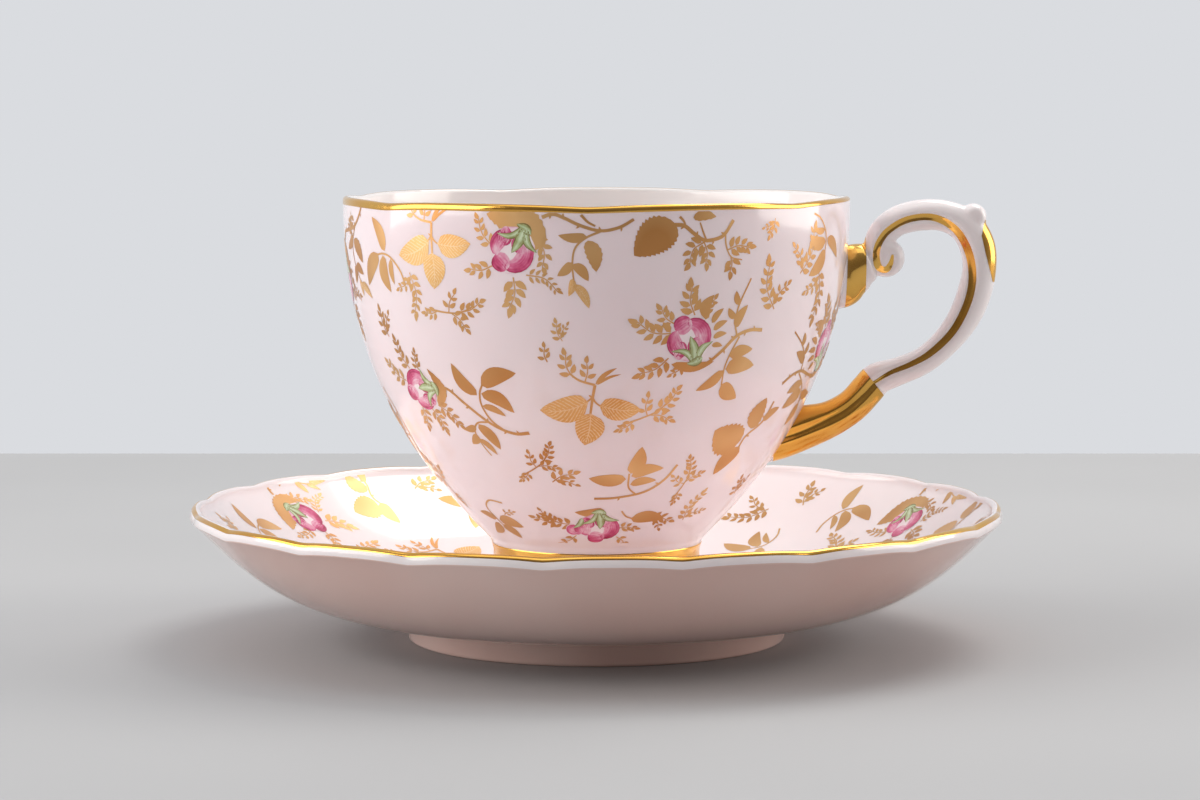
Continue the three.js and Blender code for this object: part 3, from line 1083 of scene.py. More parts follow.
CURVED_TRIO = Motif((
    Leaf((0.0, 0.0), (1.4, 5.6), 2.6, bow=-0.08), Leaf((-0.6, -1.2), (-6.8, -1.0), 2.6, bow=0.06),
    Leaf((0.2, -0.6), (5.6, 1.0), 2.3, bow=0.12), Leaf((0.2, -2.4), (4.6, -1.6), 1.7),
    Stem(((-5.4, -5.6), (-1.8, -5.4), (2.8, -4.2), (6.0, -1.6), (8.0, 1.6)), 0.5, 0.44, thorns=2),
    Stem(((1.4, -4.7), (0.0, -3.0), (-0.2, 0.0)), 0.34, 0.3),
))
BROAD_PAIR = Motif((
    Leaf((2.1, -0.6), (-4.0, 1.6), 5.6, teeth=8, bow=0.1), Leaf((3.4, 1.4), (4.6, 6.6), 3.4, teeth=7),
    Leaf((2.6, -1.8), (-0.4, -6.8), 2.9, bow=-0.08),
    Stem(((6.8, 5.8), (5.6, 2.4), (3.0, 0.2), (2.2, -2.4)), 0.44, 0.36, thorns=2), Leaf((5.6, 2.6), (9.0, 4.6), 1.5),
))
FORKED_SPRIG = Motif((
    Stem(((-4.6, -1.6), (-1.6, -0.9), (1.2, 0.2), (3.6, 2.4)), 0.36, 0.24),
    Fern((0.8, 0.1), (4.6, 3.6), 4, 1.7, -0.1), Fern((-1.0, -0.6), (-0.6, 3.0), 2, 1.6),
    Fern((-0.4, -0.6), (3.0, -2.4), 3, 1.6), Fern((-3.4, -1.4), (-6.0, -2.6), 3, 1.4),
))
LONE_LEAF = Motif((Leaf((-2.6, 0.3), (3.4, 0.0), 2.8), Stem(((-2.4, 0.3), (-3.6, 0.9), (-4.6, 2.2)), 0.3, 0.3)))
SMALL_SPRIG = Motif((Fern((0.0, -2.4), (0.4, 2.2), 3, 1.8), Fern((0.0, -1.6), (2.6, 0.8), 2, 1.3)))
LONG_SPRIG = Motif((Fern((0.0, -4.4), (-1.4, 4.0), 6, 1.9, 0.16), Fern((-0.2, -3.4), (3.2, -0.6), 3, 1.5)))
DROOPING_LEAVES = Motif((
    Leaf((-0.4, 0.2), (-4.2, 1.8), 1.8, bow=-0.1), Leaf((0.4, 0.2), (5.4, -1.4), 3.0, bow=0.1),
    Leaf((0.3, -1.2), (2.9, -4.8), 2.3), Leaf((-0.5, -0.8), (-3.6, -4.0), 2.2, bow=0.1),
    Stem(((4.2, 5.0), (1.2, 5.4), (-0.8, 3.4), (-0.2, 0.4), (0.6, -2.0)), 0.44, 0.3),
    Fern((2.8, 1.8), (5.4, 2.6), 2, 1.1),
))
TWIN_BUD = Motif((
    Leaf((-0.8, -4.6), (4.4, -3.9), 2.0, bow=0.1), Fern((4.6, -0.6), (9.6, -3.0), 4, 1.7),
    Fern((4.0, 2.2), (7.0, 4.4), 2, 1.4), Fern((-3.4, 0.2), (-6.4, 0.6), 3, 1.4),
    Fern((-3.0, 2.6), (-4.6, 5.2), 2, 1.3), Bud((0.0, 0.0), 0, 0.95, twin=True),
))


@dataclass(frozen=True)
class Placed:
    """Where a motif goes on a wall."""

    motif: Motif
    azimuth: float  # degrees round from the front
    depth: float  # mm from the edge
    turn: float = 0.0  # degrees turned to the left
    size: float = 1.0
    flip: bool = False


@dataclass
class Decoration:
    """All that is printed and painted on one wall."""

    wall: Wall
    placed: tuple[Placed, ...]
    nearest: float  # depths between which the motifs are kept
    farthest: float

    def lay(self, stem: str, body: str) -> None:
        """Lays every motif on the wall, as a gold piece and an enamel piece.

        Args:
            stem: start of the pieces' names.
            body: what they ride on.
        """
        whole = {name: bmesh.new() for name in SHEETS}
        for spot in self.placed:
            transfer = Transfer()
            spot.motif.draw(transfer)
            for name, sheet in transfer.sheets.items():
                self._bend(sheet, spot)
                add_part(whole[name], sheet)
        for (name, finishes), slot in zip(SHEETS.items(), ("gold_print", "enamel_print")):
            piece = finished(f"{stem}_{name}_print", whole[name], [finish.material for finish in finishes])
            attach(piece, body)

    def _bend(self, sheet: bmesh.types.BMesh, spot: Placed) -> None:
        """Turns one sheet of a motif to its place, trims it at the wall's edges and bends it on to the wall.

        Args:
            sheet: the sheet.
            spot: where it goes.
        """
        hand = -1 if spot.flip else 1
        turn = Matrix.Rotation(math.radians(spot.turn), 3, "Z") @ Matrix.Diagonal((hand * spot.size, spot.size, 1))
        for vert in sheet.verts:
            vert.co = turn @ vert.co - Vector((0, spot.depth, 0))
        trim(sheet, (0, -self.nearest, 0), (0, 1, 0))
        trim(sheet, (0, -self.farthest, 0), (0, -1, 0))
        for vert in sheet.verts:
            across, depth, layer = vert.co.x, -vert.co.y, vert.co.z
            around = math.degrees(across / self.wall.radius(depth)) * self.wall.side
            vert.co = self.wall.place(spot.azimuth + around, depth, layer)
        if spot.flip:
            bmesh.ops.reverse_faces(sheet, faces=sheet.faces)


# ---- The saucer ----


@dataclass
class Saucer:
    """The saucer: one jiggered dish with its foot ring, a gold line on its edge, and the print on its inside."""

    radius: float = 69.95
    height: float = 23.4
    wall_thickness: float = 2.8
    lip: float = 0.85
    ring_radius: float = 32.75
    ring_height: float = 4.4
    ring_width: float = 3.0
    well_radius: float = 23.5
    well_depth: float = 0.8
    gold_width: float = 1.25
    facets: int = 360
    edge: WavyEdge = field(init=False)

    def __post_init__(self) -> None:
        """Works out the waves of the edge."""
        self.edge = WavyEdge(
            lobes=20, first_notch=-6.9, drop=0.6, inset=0.45, fade=9.0, away=lambda radius, _: self.radius - radius
        )

    @property
    def _underside(self) -> list[Pair]:
        """Underside of the dish, from the foot ring to the edge.

        Returns:
            Radius and height of its points.
        """
        lip_foot = self.height - 1.7
        start = (self.ring_radius + 0.25, self.ring_height + 0.2)
        belly = (self.radius * 0.8, self.ring_height - 0.5), (self.radius * 0.923, lip_foot - 4.4)
        return bezier([start, *belly, (self.radius, lip_foot)], 44)

    @property
    def _lip_centre(self) -> Pair:
        """Centre of the rolled lip's section."""
        return self.radius - 0.3 - self.lip, self.height - self.lip

    def _inside(self) -> list[Pair]:
        """Upper face, from the lip in to the middle.

        Returns:
            Radius and height of its points.
        """
        under = self._underside
        points = []
        for i in range(len(under) - 1, -1, -1):
            t = i / (len(under) - 1)
            a, b = Vector(under[max(i - 1, 0)]), Vector(under[min(i + 1, len(under) - 1)])
            wall = self.wall_thickness + (2 * self.lip - self.wall_thickness) * t * t
            point = Vector(under[i]) + left_of((b - a).normalized()) * wall
            if self.well_radius + 3 < point.x < self.radius - 2.6:
                points.append((point.x, point.y))
        top = self.ring_height + self.wall_thickness - self.well_depth
        well, brink = self.well_radius, top + self.well_depth
        step = bezier([(well + 2.6, brink), (well + 1.2, brink), (well + 1.2, top), (well, top)], 8)
        return [*points, *step, (12, top), (4, top), (0, top)]

    def _outline(self) -> list[Pair]:
        """Outline of the dish, up its outside and over the lip to the middle.

        Returns:
            Radius and height of its points.
        """
        inner, ring, high = self.ring_radius - self.ring_width, self.ring_radius, self.ring_height
        inside = [(inner - 1.6, high - 0.5), (inner - 0.4, high - 0.5), (inner, high - 1.2), (inner, high - 2.2)]
        outside = [(ring - 0.05, high - 1.4), (ring - 0.05, high - 0.5), (ring, high + 0.1), (ring + 0.25, high + 0.2)]
        return [
            (0, high - 0.6),
            (inner - 2.4, high - 0.5),
            *bezier(inside, 6),
            *arc((inner + 0.9, 0.7), 0.7, 180, 270, 6),
            *arc((ring - 0.9, 0.7), 0.7, 270, 360, 6),
            *bezier(outside, 5)[:-1],
            *self._underside,
            *arc(self._lip_centre, self.lip, 8, 180, 14),
            *self._inside(),
        ]

    def _wall(self) -> Wall:
        """The side that shows, from outside the lip over its crest and down to the well; zero is the crest."""
        over = arc(self._lip_centre, self.lip, 0, 180, 18)
        return Wall(Profile([*over, *self._inside()], self.lip * math.pi / 2), self.edge, -1)

    def build(self) -> None:
        """Builds the saucer's pieces."""
        mesh = turned(self._outline(), self.facets, self.edge)
        # Faces that point down take the darker copy of the glaze, which is painted shade on the underside.
        for face in mesh.faces:
            face.material_index = 0 if face.normal.z > 0.05 else 1
        dish = finished("saucer_china", mesh, [Finish.PALE.material, Finish.ROSE.material])
        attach(dish, "saucer")
        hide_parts("saucer_dish")

        wall = self._wall()
        first = -self.lip * math.radians(78)  # a little outside the crest

        def width(azimuth: float) -> float:
            """Hand-banded line, a little wider and narrower as it goes round."""
            swing = math.radians(azimuth)
            return self.gold_width * (1 + 0.14 * math.sin(2 * swing + 1) + 0.08 * math.sin(7 * swing))

        line = finished("saucer_gold_line", wall.band(first, width, self.facets), [Finish.BURNISHED.material])
        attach(line, "saucer")
        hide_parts("saucer_rim_gilding")
        Decoration(wall, self._print(), nearest=1.5, farthest=45.0).lay("saucer", "saucer")

    def _print(self) -> tuple[Placed, ...]:
        """Motifs all round the inside, in three laps of the same transfer.

        Returns:
            The motifs in their places.
        """
        lap = (
            Placed(BUD_AND_BRANCH, -121, 10.0, 70),
            Placed(BROAD_PAIR, -137, 9.0, 40),
            Placed(LEAF_FAN, -104, 9.5, -40, 0.95),
            Placed(FORKED_SPRIG, -111, 21.0, 100, 1.1),
            Placed(SMALL_SPRIG, -94, 7.0, 10, 1.1),
            Placed(ENGRAVED_TRIO, -143, 24.0, 30),
            Placed(CURVED_TRIO, -156, 11.0, 80, 0.95),
            Placed(LONG_SPRIG, -128, 22.0, -70),
            Placed(SMALL_SPRIG, -150, 4.6, -60, 1.1),
            Placed(LEAF_FAN, -92, 23.0, 150, 0.9),
            Placed(FORKED_SPRIG, -166, 22.0, -30),
            Placed(LONG_SPRIG, -84, 12.0, 100),
            Placed(DROOPING_LEAVES, -176, 9.0, 200, 0.95),
            Placed(SMALL_SPRIG, -115, 33.0, 20, 1.1),
            Placed(SMALL_SPRIG, -165, 33.0, 90, 1.1),
        )
        return tuple(replace(spot, azimuth=spot.azimuth + turn) for turn in (0, 115, 236) for spot in lap)


# ---- The cup ----


@dataclass
class Cup:
    """The cup's bowl and foot, their gold lines, and the print on the outside of the bowl."""

    rim_radius: float = 43.4
    rim_top: float = 76.4
    lip: float = 0.65
    wall_thickness: float = 2.0
    floor: float = 3.2
    waist: float = 17.7
    foot_base: float = 6.5
    foot_top: float = 15.5
    foot_flare: float = 2.5
    foot_wall: float = 3.0
    foot_gold: float = 7.0
    facets: int = 336
    edge: WavyEdge = field(init=False)

    def __post_init__(self) -> None:
        """Works out the waves of the lip."""
        self.edge = WavyEdge(
            lobes=7, first_notch=-92.0, drop=0.45, inset=0.3, fade=9.0, away=lambda _, height: self.rim_top - height
        )

    @property
    def _over_lip(self) -> float:
        """Length of the lip's curve from the gold's inner edge to the outside wall, in mm."""
        return self.lip * math.radians(110)

    def outer(self) -> list[Pair]:
        """Outside of the bowl, from the lip down to the foot.

        Returns:
            Radius and height of its points.
        """
        deep = self.rim_top - self.foot_top
        belly = (self.rim_radius, self.foot_top + deep * 0.516), (self.waist + 13.45, self.foot_top + 15.0)
        start, end = (self.rim_radius, self.rim_top - self.lip), (self.waist + 0.6, self.foot_top + 2.0)
        return bezier([start, *belly, end], 60)

    def _inner(self) -> list[Pair]:
        """Inside of the bowl, from the lip down to the middle of the floor.

        Returns:
            Radius and height of its points.
        """
        deep, floor = self.rim_top - self.foot_top, self.foot_top + self.floor
        start = (self.rim_radius - 2 * self.lip, self.rim_top - self.lip)
        upper = (self.rim_radius - self.wall_thickness, self.foot_top + deep * 0.53)
        lower = (self.waist + 11.6, self.foot_top + 14.5)
        dished = [(self.waist * share, floor + rise) for share, rise in ((0.78, 0.38), (0.6, 0.15), (0.3, 0.02))]
        return [*bezier([start, upper, lower, (self.waist - 2.0, floor + 0.9)], 46), *dished, (0, floor)]

    def _foot(self, grow: float) -> list[Pair]:
        """Outside of the foot, from its base up to the bowl.

        Args:
            grow: mm that it is set out by.

        Returns:
            Radius and height of its points.
        """
        tall = self.foot_top - self.foot_base
        base, waist = self.waist + self.foot_flare, self.waist + grow
        flare = (base + grow, self.foot_base + 0.9), (base - 0.4 + grow, self.foot_base + 3.2)
        return bezier([*flare, (waist, self.foot_base + tall * 0.5), (waist, self.foot_top + 0.4)], 24)

    def wall(self) -> Wall:
        """Outside of the bowl from just inside the crest; zero is where the lip meets the wall."""
        over = arc((self.rim_radius - self.lip, self.rim_top - self.lip), self.lip, 110, 0, 12)
        return Wall(Profile([*over[:-1], *self.outer()], self._over_lip), self.edge, 1)

    def build(self) -> None:
        """Builds the bowl, the foot and their gilding."""
        over = arc((self.rim_radius - self.lip, self.rim_top - self.lip), self.lip, 0, 180, 12)
        outline = [(0, self.foot_top), (self.waist, self.foot_top), *self.outer()[::-1], *over[1:-1], *self._inner()]
        mesh = turned(outline, self.facets, self.edge)
        for face in mesh.faces:
            middle, normal = face.calc_center_median(), face.normal
            outward = normal.x * middle.x + normal.y * middle.y > 0.02 * middle.xy.length
            face.material_index = 0 if outward or normal.z < -0.5 else 1
        bowl = finished("cup_china", mesh, [Finish.PINK.material, Finish.WHITE.material])
        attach(bowl, "cup")
        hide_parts("cup_bowl")

        wall = self.wall()

        def width(azimuth: float) -> float:
            """Hand-banded line, widest at the left of the front."""
            swing = math.radians(azimuth)
            return 1.64 + 0.36 * math.cos(swing + 1.05) + 0.06 * math.sin(3 * swing) + 0.03 * math.sin(11 * swing)

        line = finished("cup_gold_line", wall.band(-self._over_lip, width, self.facets), [Finish.BURNISHED.material])
        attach(line, "cup")
        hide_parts("cup_rim_gilding")
        self._build_foot()
        Decoration(wall, self._print(), nearest=0.5, farthest=63.4).lay("cup", "cup")

    def _build_foot(self) -> None:
        """Builds the foot and the gold round it."""
        base = self.waist + self.foot_flare
        hollow, inner = self.foot_top - 1.6, self.waist - self.foot_wall
        top = hollow - 0.3
        vault = [(inner - 1.4, top), (inner - 0.5, top - 0.1), (inner, top - 0.7), (inner + 0.1, top - 1.7)]
        outline = [
            (0, hollow),
            (inner - 3.5, hollow - 0.1),
            *bezier(vault, 6),
            (base - self.foot_wall, self.foot_base + 1.6),
            *arc((base - self.foot_wall + 1.0, self.foot_base + 0.9), 0.9, 180, 270, 6),
            *arc((base - 0.9, self.foot_base + 0.9), 0.9, 270, 360, 6),
            *self._foot(0)[1:],
            (self.waist - 1.0, self.foot_top + 0.4),
            (0, self.foot_top + 0.3),
        ]
        foot = finished("cup_foot_china", turned(outline, self.facets), [Finish.PINK.material])
        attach(foot, "cup")
        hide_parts("cup_foot_ring")

        lowest = self.foot_top - self.foot_gold
        shown = [point for point in self._foot(0.04) if point[1] > lowest]
        # The brush ran a little way up on to the bowl.
        swell = [(self.waist + 0.3 * rise + 0.06, self.foot_top + rise) for rise in (0.1, 0.5, 0.9, 1.25)]
        skin = [(shown[0][0] - 0.1, shown[0][1] - 0.02), *shown[:-2], *swell, (self.waist + 0.2, self.foot_top + 1.35)]
        gold = finished("cup_foot_gold", turned(skin, self.facets), [Finish.BURNISHED.material])
        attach(gold, "cup")
        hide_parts("cup_foot_gilding")

    def _print(self) -> tuple[Placed, ...]:
        """Motifs round the bowl: the front as laid, and the same again behind.

        Returns:
            The motifs in their places.
        """
        front = (
            Placed(BUD_AND_BRANCH, -18.2, 6.9),
            Placed(GREAT_LEAF_BRANCH, 13.2, 4.6),
            Placed(BUD_AND_LEAVES, 21.8, 21.4),
            Placed(ENGRAVED_TRIO, -1.4, 29.2),
            Placed(FORKED_SPRIG, 14.5, 34.2, 8, 0.95),
            Placed(LYING_BUD, -50.5, 31.2),
            Placed(LEAF_FAN, -30.3, 31.0),
            Placed(LONE_LEAF, 20.0, 57.4),
            Placed(CURVED_TRIO, 10.6, 46.6),
            Placed(TWIN_BUD, 1.2, 59.2, 180, 0.95),
            Placed(DROOPING_LEAVES, -46.0, 58.6, 0, 0.9),
            Placed(FORKED_SPRIG, -17.5, 44.6, 20, 0.8),
            Placed(SMALL_SPRIG, -10.5, 47.4, -60, 0.95),
            Placed(BROAD_PAIR, 41.5, 40.2, 0, 1.12),
            Placed(LONG_SPRIG, 43.5, 12.6, 4),
            Placed(SMALL_SPRIG, 41.5, 3.4, 160, 0.7),
            Placed(LONG_SPRIG, 53.0, 7.0, -14, 1.0, True),
            Placed(LEAF_FAN, 62.0, 6.4, 200, 0.9),
            Placed(LONG_SPRIG, 58.5, 15.5, 170),
            Placed(BUD_AND_LEAVES, 73.0, 24.4, 30, 1.0, True),
            Placed(FORKED_SPRIG, 30.0, 48.4, 60, 0.8),
            Placed(LONG_SPRIG, 41.5, 55.0, -20, 0.8),
            Placed(SMALL_SPRIG, 60.0, 51.5, 30, 0.9),
            Placed(SMALL_SPRIG, 27.0, 57.6, -100, 0.9),
            Placed(ENGRAVED_TRIO, -39.0, 2.6, 8, 0.95),
            Placed(LEAF_FAN, -55.0, 8.0, 70, 1.0, True),
            Placed(FORKED_SPRIG, -33.5, 17.0, -20, 0.95),
            Placed(LONG_SPRIG, -46.5, 14.6, 170, 0.85),
            Placed(SMALL_SPRIG, -59.0, 20.0, 20),
            Placed(SMALL_SPRIG, -21.0, 57.6, 80, 0.9),
            Placed(SMALL_SPRIG, -8.5, 20.0, 20, 0.7),
            Placed(BUD_AND_BRANCH, -83.0, 14.0, 30),
            Placed(CURVED_TRIO, -80.0, 40.0, 60),
            Placed(FORKED_SPRIG, -68.0, 50.0, 80, 0.9),
            Placed(SMALL_SPRIG, -72.0, 3.8, 180, 0.9),
        )
        back = tuple(replace(spot, azimuth=spot.azimuth + 180) for spot in front if -64 < spot.azimuth < 70)
        return front + back


# ---- The handle ----


@dataclass
class Handle:
    """The cast scroll handle: a grooved loop that curls in at its top, a collar, a thumb rest and a gilt foot.

    Its points are measured out from the cup's lip radius and down from the top of the loop.
    """

    out_from: float = 43.4
    down_from: float = 75.8
    thickness: float = 5.8
    voxel: float = 0.2
    groove_depth: float = 0.42
    groove_reach: float = 1.15
    curl: Pair = (6.2, 10.1)
    curl_radius: float = 3.35
    thumb_rest: Pair = (21.2, 3.0)
    thumb_radius: float = 2.3
    root: float = 0.9  # how far its ends go into the bowl's wall
    gilt: float = 0.035  # how far a gold skin stands off the glaze
    loop: tuple[Station, ...] = (
        (5.4, 10.6, 3.6), (4.7, 8.6, 4.4), (5.6, 6.0, 5.0), (8.2, 3.8, 5.2), (12.0, 2.8, 5.4), (16.2, 2.9, 5.4),
        (19.8, 4.6, 5.9), (21.9, 8.0, 6.1), (22.3, 12.0, 5.8), (21.4, 16.4, 5.9), (19.6, 20.6, 5.5), (16.6, 24.6, 4.9),
        (12.8, 27.8, 4.7), (8.4, 29.7, 4.9), (5.0, 30.9, 5.6), (3.2, 32.8, 5.8), (0.6, 35.6, 5.8), (-3.2, 37.9, 6.3),
        (-7.6, 39.3, 7.6), (-12.6, 40.7, 8.6), (-18.6, 41.8, 9.0),
    )
    collar: tuple[Station, ...] = (
        (-3.4, 12.6, 13.4), (-1.2, 12.8, 11.8), (0.4, 12.2, 9.2), (1.8, 11.4, 8.0), (3.4, 10.7, 6.6),
    )
    line: tuple[Pair, ...] = (
        (7.2, 9.4), (6.9, 10.9), (6.1, 12.0), (4.9, 11.6), (4.4, 9.6), (4.9, 7.4), (6.6, 5.2), (9.9, 3.4), (14.2, 3.1),
        (18.0, 5.2), (20.3, 9.2), (20.9, 13.6), (20.0, 18.0), (17.6, 22.6), (14.0, 26.2), (10.6, 28.2), (7.0, 29.7),
        (4.2, 31.4),
    )
    terminal: tuple[Pair, ...] = ((4.2, 31.4), (2.2, 33.6), (-0.4, 35.9), (-3.4, 37.6), (-8.0, 39.6), (-12.0, 41.0))

    def _at(self, out: float, down: float, across: float = 0.0) -> Vector:
        """Point of the handle, in mm."""
        return Vector((self.out_from + out, across, self.down_from - down))

    def _bar(self, stations: Sequence[Station], thick: Callable[[float], float], rings: int) -> bmesh.types.BMesh:
        """Bends a round bar along its stations.

        Args:
            stations: out, down and width of each.
            thick: thickness across the handle's plane, from the share along the bar.
            rings: how many pieces it is cut into.

        Returns:
            The closed mesh.
        """
        mesh = bmesh.new()
        bmesh.ops.create_cone(mesh, cap_ends=True, cap_tris=True, segments=28, radius1=1, radius2=1, depth=1)
        length = [e for e in mesh.edges if abs(e.verts[0].co.z - e.verts[1].co.z) > 0.5]
        bmesh.ops.subdivide_edges(mesh, edges=length, cuts=rings - 1, use_grid_fill=False)
        for vert in mesh.verts:
            t = vert.co.z + 0.5
            out, down, width = through(stations, t)
            ahead, behind = through(stations, t + 0.01), through(stations, t - 0.01)
            way = Vector((ahead.x - behind.x, 0, behind.y - ahead.y)).normalized()
            across = Vector((0, vert.co.y * thick(t) / 2, 0))
            vert.co = self._at(out, down) + Vector((-way.z, 0, way.x)) * (vert.co.x * width / 2) + across
        bmesh.ops.recalc_face_normals(mesh, faces=mesh.faces)
        return mesh

    def _button(self, centre: Pair, radius: float, thickness: float, round_off: float) -> bmesh.types.BMesh:
        """Turns a round button across the handle's plane.

        Args:
            centre: out and down of its middle.
            radius: its radius.
            thickness: its thickness.
            round_off: how far its edge is rounded in.

        Returns:
            The closed mesh.
        """
        half = thickness / 2
        rim = [(radius - round_off + round_off * out, half * up) for out, up in arc((0, 0), 1, -90, 90, 12)]
        mesh = turned([(0, -half), *rim, (0, half)], 36)
        bmesh.ops.rotate(mesh, verts=mesh.verts, cent=(0, 0, 0), matrix=Matrix.Rotation(math.pi / 2, 3, "X"))
        bmesh.ops.translate(mesh, verts=mesh.verts, vec=self._at(*centre))
        return mesh

    def _modified(self, name: str, mesh: bmesh.types.BMesh, kind: str, **settings: object) -> bmesh.types.BMesh:
        """Runs one modifier over a mesh.

        Args:
            name: name of the short-lived object.
            mesh: the mesh, in mm, which is freed.
            kind: the modifier's type.
            **settings: the modifier's settings.

        Returns:
            The changed mesh, in mm.
        """
        data = stored(name, mesh)
        rough = linked(name, data)
        modifier = rough.modifiers.new(kind, kind)
        for key, value in settings.items():
            setattr(modifier, key, value)
        shown = rough.evaluated_get(bpy.context.evaluated_depsgraph_get())
        changed = bmesh.new()
        changed.from_mesh(shown.to_mesh())
        shown.to_mesh_clear()
        bpy.data.objects.remove(rough)
        bpy.data.meshes.remove(data)
        return changed

    def _body(self, bowl: Sequence[Pair]) -> bmesh.types.BMesh:
        """The whole handle as one smooth skin, grooved and cut to the bowl.

        Args:
            bowl: outside of the bowl, from the lip down.

        Returns:
            The closed mesh.
        """
        whole = bmesh.new()
        parts = (
            self._bar(self.loop, lambda t: self.thickness * (0.96 + 0.2 * max(0.0, t - 0.76) / 0.24), 156),
            self._bar(self.collar, lambda t: 7.0 + 2.2 * max(0.0, 0.4 - t) / 0.4, 24),
            self._button(self.curl, self.curl_radius, self.thickness, 1.6),
            self._button(self.thumb_rest, self.thumb_radius, self.thickness * 0.78, 1.3),
        )
        for part in parts:
            add_part(whole, part)
        whole = self._modified("handle_rough", whole, "REMESH", mode="VOXEL", voxel_size=self.voxel)
        self._soften(whole, 7)
        self._groove(whole)
        self._soften(whole, 2)
        fill = turned([(0, bowl[-1][1]), *((r - self.root, z) for r, z in bowl[::-3]), (0, bowl[0][1])], 96)
        data = stored("bowl_fill", fill)
        cutter = linked("bowl_fill", data)
        cut = self._modified("handle_cut", whole, "BOOLEAN", operation="DIFFERENCE", solver="EXACT", object=cutter)
        bpy.data.objects.remove(cutter)
        bpy.data.meshes.remove(data)
        return cut

    def _soften(self, mesh: bmesh.types.BMesh, times: int) -> None:
        """Evens a mesh out, as the glaze does, a number of times."""
        for _ in range(times):
            bmesh.ops.smooth_vert(mesh, verts=mesh.verts, factor=0.5, use_axis_x=True, use_axis_y=True, use_axis_z=True)

    def _groove(self, mesh: bmesh.types.BMesh) -> None:
        """Presses the scroll's groove into both sides.

        Args:
            mesh: the handle's skin, in mm.
        """
        route = [through(self.line, i / 200) for i in range(201)] + [through(self.terminal, i / 80) for i in range(81)]
        tree = KDTree(len(route))
        for i, (out, down) in enumerate(route):
            tree.insert(self._at(out, down), i)
        tree.balance()
        for vert in mesh.verts:
            _, index, distance = tree.find(Vector((vert.co.x, 0, vert.co.z)))
            if distance >= self.groove_reach or abs(vert.co.y) < 0.8:
                continue
            start = min(index / 14, 1.0)
            share = (1 - (distance / self.groove_reach) ** 2) ** 2 * start
            vert.co.y -= math.copysign(self.groove_depth * share, vert.co.y)

    def _gilt(self, name: str, node: str, body: bpy.types.Mesh, corners: Sequence[Pair]) -> None:
        """Lays a gold skin over part of the handle.

        Args:
            name: the piece's name.
            node: the node that it stands for.
            body: the handle's own mesh, in metres.
            corners: out and down of the corners of the part that it covers, clockwise as seen from the front.
        """
        mesh = bmesh.new()
        mesh.from_mesh(body)
        bmesh.ops.scale(mesh, vec=(1 / MM,) * 3, verts=mesh.verts)
        mesh.normal_update()
        for vert in mesh.verts:
            vert.co += vert.normal * self.gilt
        for a, b in zip(corners, [*corners[1:], corners[0]]):
            way = self._at(*b) - self._at(*a)
            trim(mesh, self._at(*a), (-way.z, 0, way.x))
        piece = finished(name, mesh, [Finish.BURNISHED.material])
        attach(piece, "cup")
        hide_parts(node)

    def _gold_line(self, name: str, node: str, tree: BVHTree, hand: int) -> None:
        """Lays the gold line along the groove of one side.

        Args:
            name: the piece's name.
            node: the node that it stands for.
            tree: the handle's skin, in metres.
            hand: 1 for the back side, -1 for the front.
        """
        mesh = bmesh.new()
        bmesh.ops.create_grid(mesh, x_segments=260, y_segments=6, size=1.0)
        for vert in mesh.verts:
            t, v = (vert.co.x + 1) / 2, vert.co.y
            full = 0.35 + 1.0 * min(t / 0.12, 1.0) ** 0.7 + 0.2 * math.sin(math.pi * min(max((t - 0.45) / 0.4, 0), 1))
            full *= 1 - 0.55 * max(0.0, (t - 0.8) / 0.2)
            spot = through(self.line, t) + left_of(heading(self.line, t, 0.005)) * (v * full / 2)
            start = self._at(spot.x, spot.y, hand * 12.0) * MM
            hit = tree.ray_cast(start, Vector((0, -hand, 0)))[0]
            raised = GOLD_LIFT if abs(v) < 0.99 else -0.02
            vert.co = (hit if hit else start) / MM + Vector((0, hand * raised, 0))
        if hand > 0:
            bmesh.ops.reverse_faces(mesh, faces=mesh.faces)
        piece = finished(name, mesh, [Finish.BURNISHED.material])
        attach(piece, "cup")
        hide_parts(node)

    def build(self, bowl: Sequence[Pair]) -> None:
        """Builds the handle and its gold.

        Args:
            bowl: outside of the cup's bowl, from the lip down.
        """
        china = finished("handle_china", self._body(bowl), [Finish.PALE.material])
        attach(china, "cup")
        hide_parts("cup_handle")
        body = china.data
        skin = bmesh.new()
        skin.from_mesh(body)
        tree = BVHTree.FromBMesh(skin)
        self._gold_line("handle_gold_line_front", "handle_line_gilding_front", tree, -1)
        self._gold_line("handle_gold_line_back", "handle_line_gilding_back", tree, 1)
        skin.free()
        collar = ((-0.2, 2.0), (2.7, 2.0), (2.7, 24.0), (-1.0, 24.0))
        foot = ((-13.0, 26.0), (-0.1, 26.0), (7.2, 35.2), (7.2, 50.0), (-13.0, 50.0))
        thumb = ((22.4, 6.2), (23.1, 3.6), (28.0, 3.6), (28.0, 14.2), (24.5, 14.2), (23.1, 9.2))
        self._gilt("handle_gold_collar", "handle_upper_gilding", body, collar)
        self._gilt("handle_gold_foot", "handle_lower_gilding", body, foot)
        self._gilt("handle_gold_thumb", "handle_thumb_gilding", body, thumb)


# ---- The studio ----


@dataclass(frozen=True)
class SoftBox:
    """A large soft lamp that faces the cup."""

    name: str
    place: tuple[float, float, float]  # metres
    wide: float
    tall: float
    power: float  # watts
    tint: str = "#ffffff"
    aim: tuple[float, float, float] = (0, 0, 0.045)

    def light(self) -> None:
        """Puts the lamp up."""
        lamp = bpy.data.lights.new(self.name, "AREA")
        lamp.shape, lamp.size, lamp.size_y = "RECTANGLE", self.wide, self.tall
        lamp.energy, lamp.color = self.power, linear(self.tint)[:3]
        stand = linked(self.name, lamp)
        stand.location = self.place
        stand.rotation_euler = (Vector(self.aim) - Vector(self.place)).to_track_quat("-Z", "Y").to_euler()


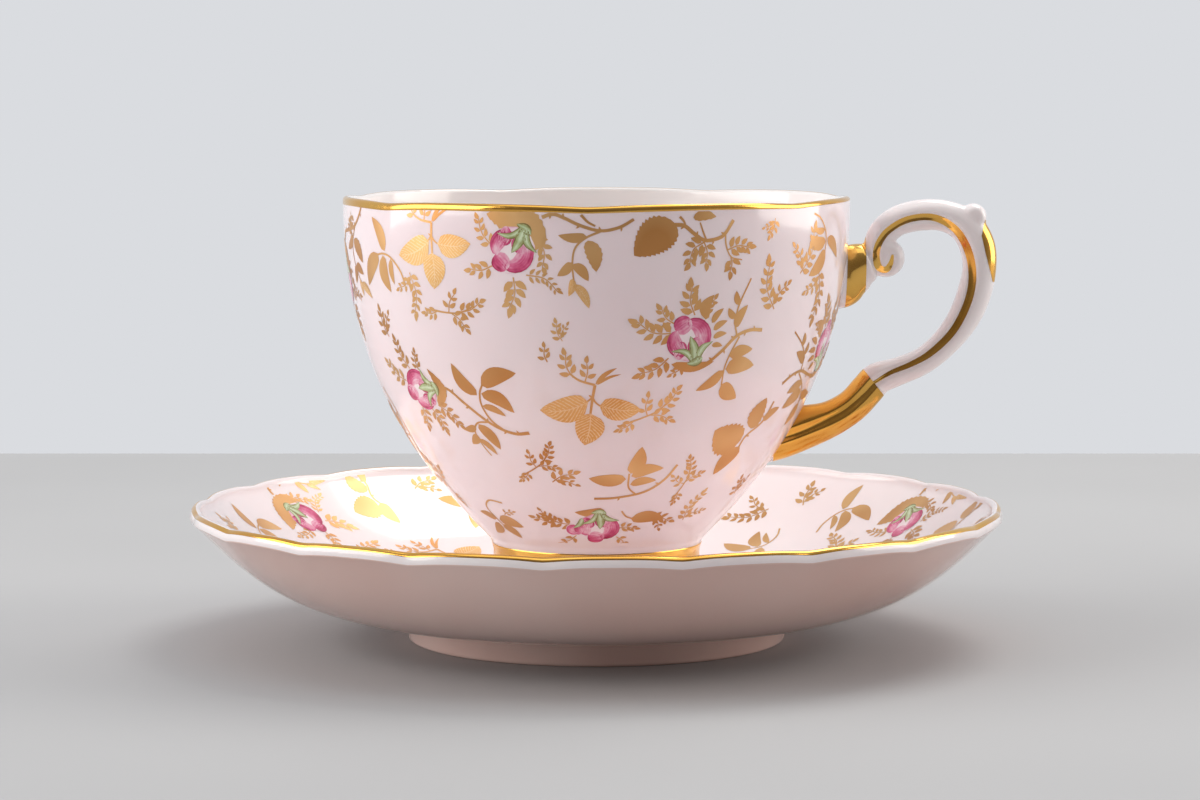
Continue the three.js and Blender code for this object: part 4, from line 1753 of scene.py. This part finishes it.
@dataclass(frozen=True)
class Studio:
    """Pale floor, soft light and the camera."""

    boxes: tuple[SoftBox, ...] = (
        SoftBox("window", (0.36, 0.46, 0.95), 0.6, 0.45, 4.2, "#fffaf4"),
        SoftBox("left_panel", (-1.3, -0.25, 0.5), 1.5, 1.1, 17.5, "#fffcf8"),
        SoftBox("right_panel", (1.3, 0.15, 0.45), 1.0, 1.0, 11.0, "#fff8f0"),
        SoftBox("overhead", (0.0, -0.15, 1.15), 1.1, 0.7, 2.2),
    )
    air: tuple[tuple[float, str], ...] = ((0.0, "#6b6561"), (0.3, "#979696"), (0.62, "#d0d3d6"), (0.9, "#dadce0"))
    floor: tuple[float, float, float] = (3000.0, 1800.0, 300.0)  # width, depth and how far it goes behind, in mm
    lens: float = 108.4
    tilt: float = 84.773  # degrees up from looking straight down
    eye: tuple[float, float, float] = (0.00058, -0.620, 0.0979)

    def build(self) -> None:
        """Lays the floor, lights it and sets the camera."""
        mesh = bmesh.new()
        wide, deep, behind = self.floor
        bmesh.ops.create_grid(mesh, x_segments=8, y_segments=8, size=0.5)
        bmesh.ops.scale(mesh, vec=(wide, deep, 1), verts=mesh.verts)
        bmesh.ops.translate(mesh, verts=mesh.verts, vec=(0, behind - deep / 2, -0.02))
        finished("studio_floor", mesh, [Finish.PAPER.material])
        for box in self.boxes:
            box.light()
        # The room is brighter behind the cup than in front of it, which gives the gold something dark to mirror.
        world = bpy.data.worlds.new("studio_air")
        world.use_nodes = True
        tree = world.node_tree
        tree.nodes.clear()
        depth = add_node(tree, "SeparateXYZ", out=1, Vector=add_node(tree, "TexCoord"))
        share = add_node(tree, "Math", {"operation": "MULTIPLY_ADD"}, n0=depth, n1=0.5, n2=0.5)
        light = add_node(tree, "Background", Color=add_node(tree, "ValToRGB", {"stops": self.air}, Fac=share))
        add_node(tree, "OutputWorld", Surface=light)
        bpy.context.scene.world = world
        camera = bpy.data.cameras.new("camera")
        camera.lens, camera.sensor_width = self.lens, 36.0
        camera.clip_start, camera.clip_end = 0.01, 20.0
        stand = linked("camera", camera)
        stand.location = self.eye
        stand.rotation_euler = (math.radians(self.tilt), 0, 0)
        bpy.context.scene.camera = stand
        bpy.context.scene.view_settings.view_transform = "Standard"


def main() -> None:
    """Builds the studio, the saucer, the cup and its handle."""
    logging.basicConfig(level=logging.INFO, format="%(name)s: %(message)s")
    Studio().build()
    Saucer().build()
    cup = Cup()
    cup.build()
    Handle().build(cup.outer())


if __name__ == "__main__":
    main()
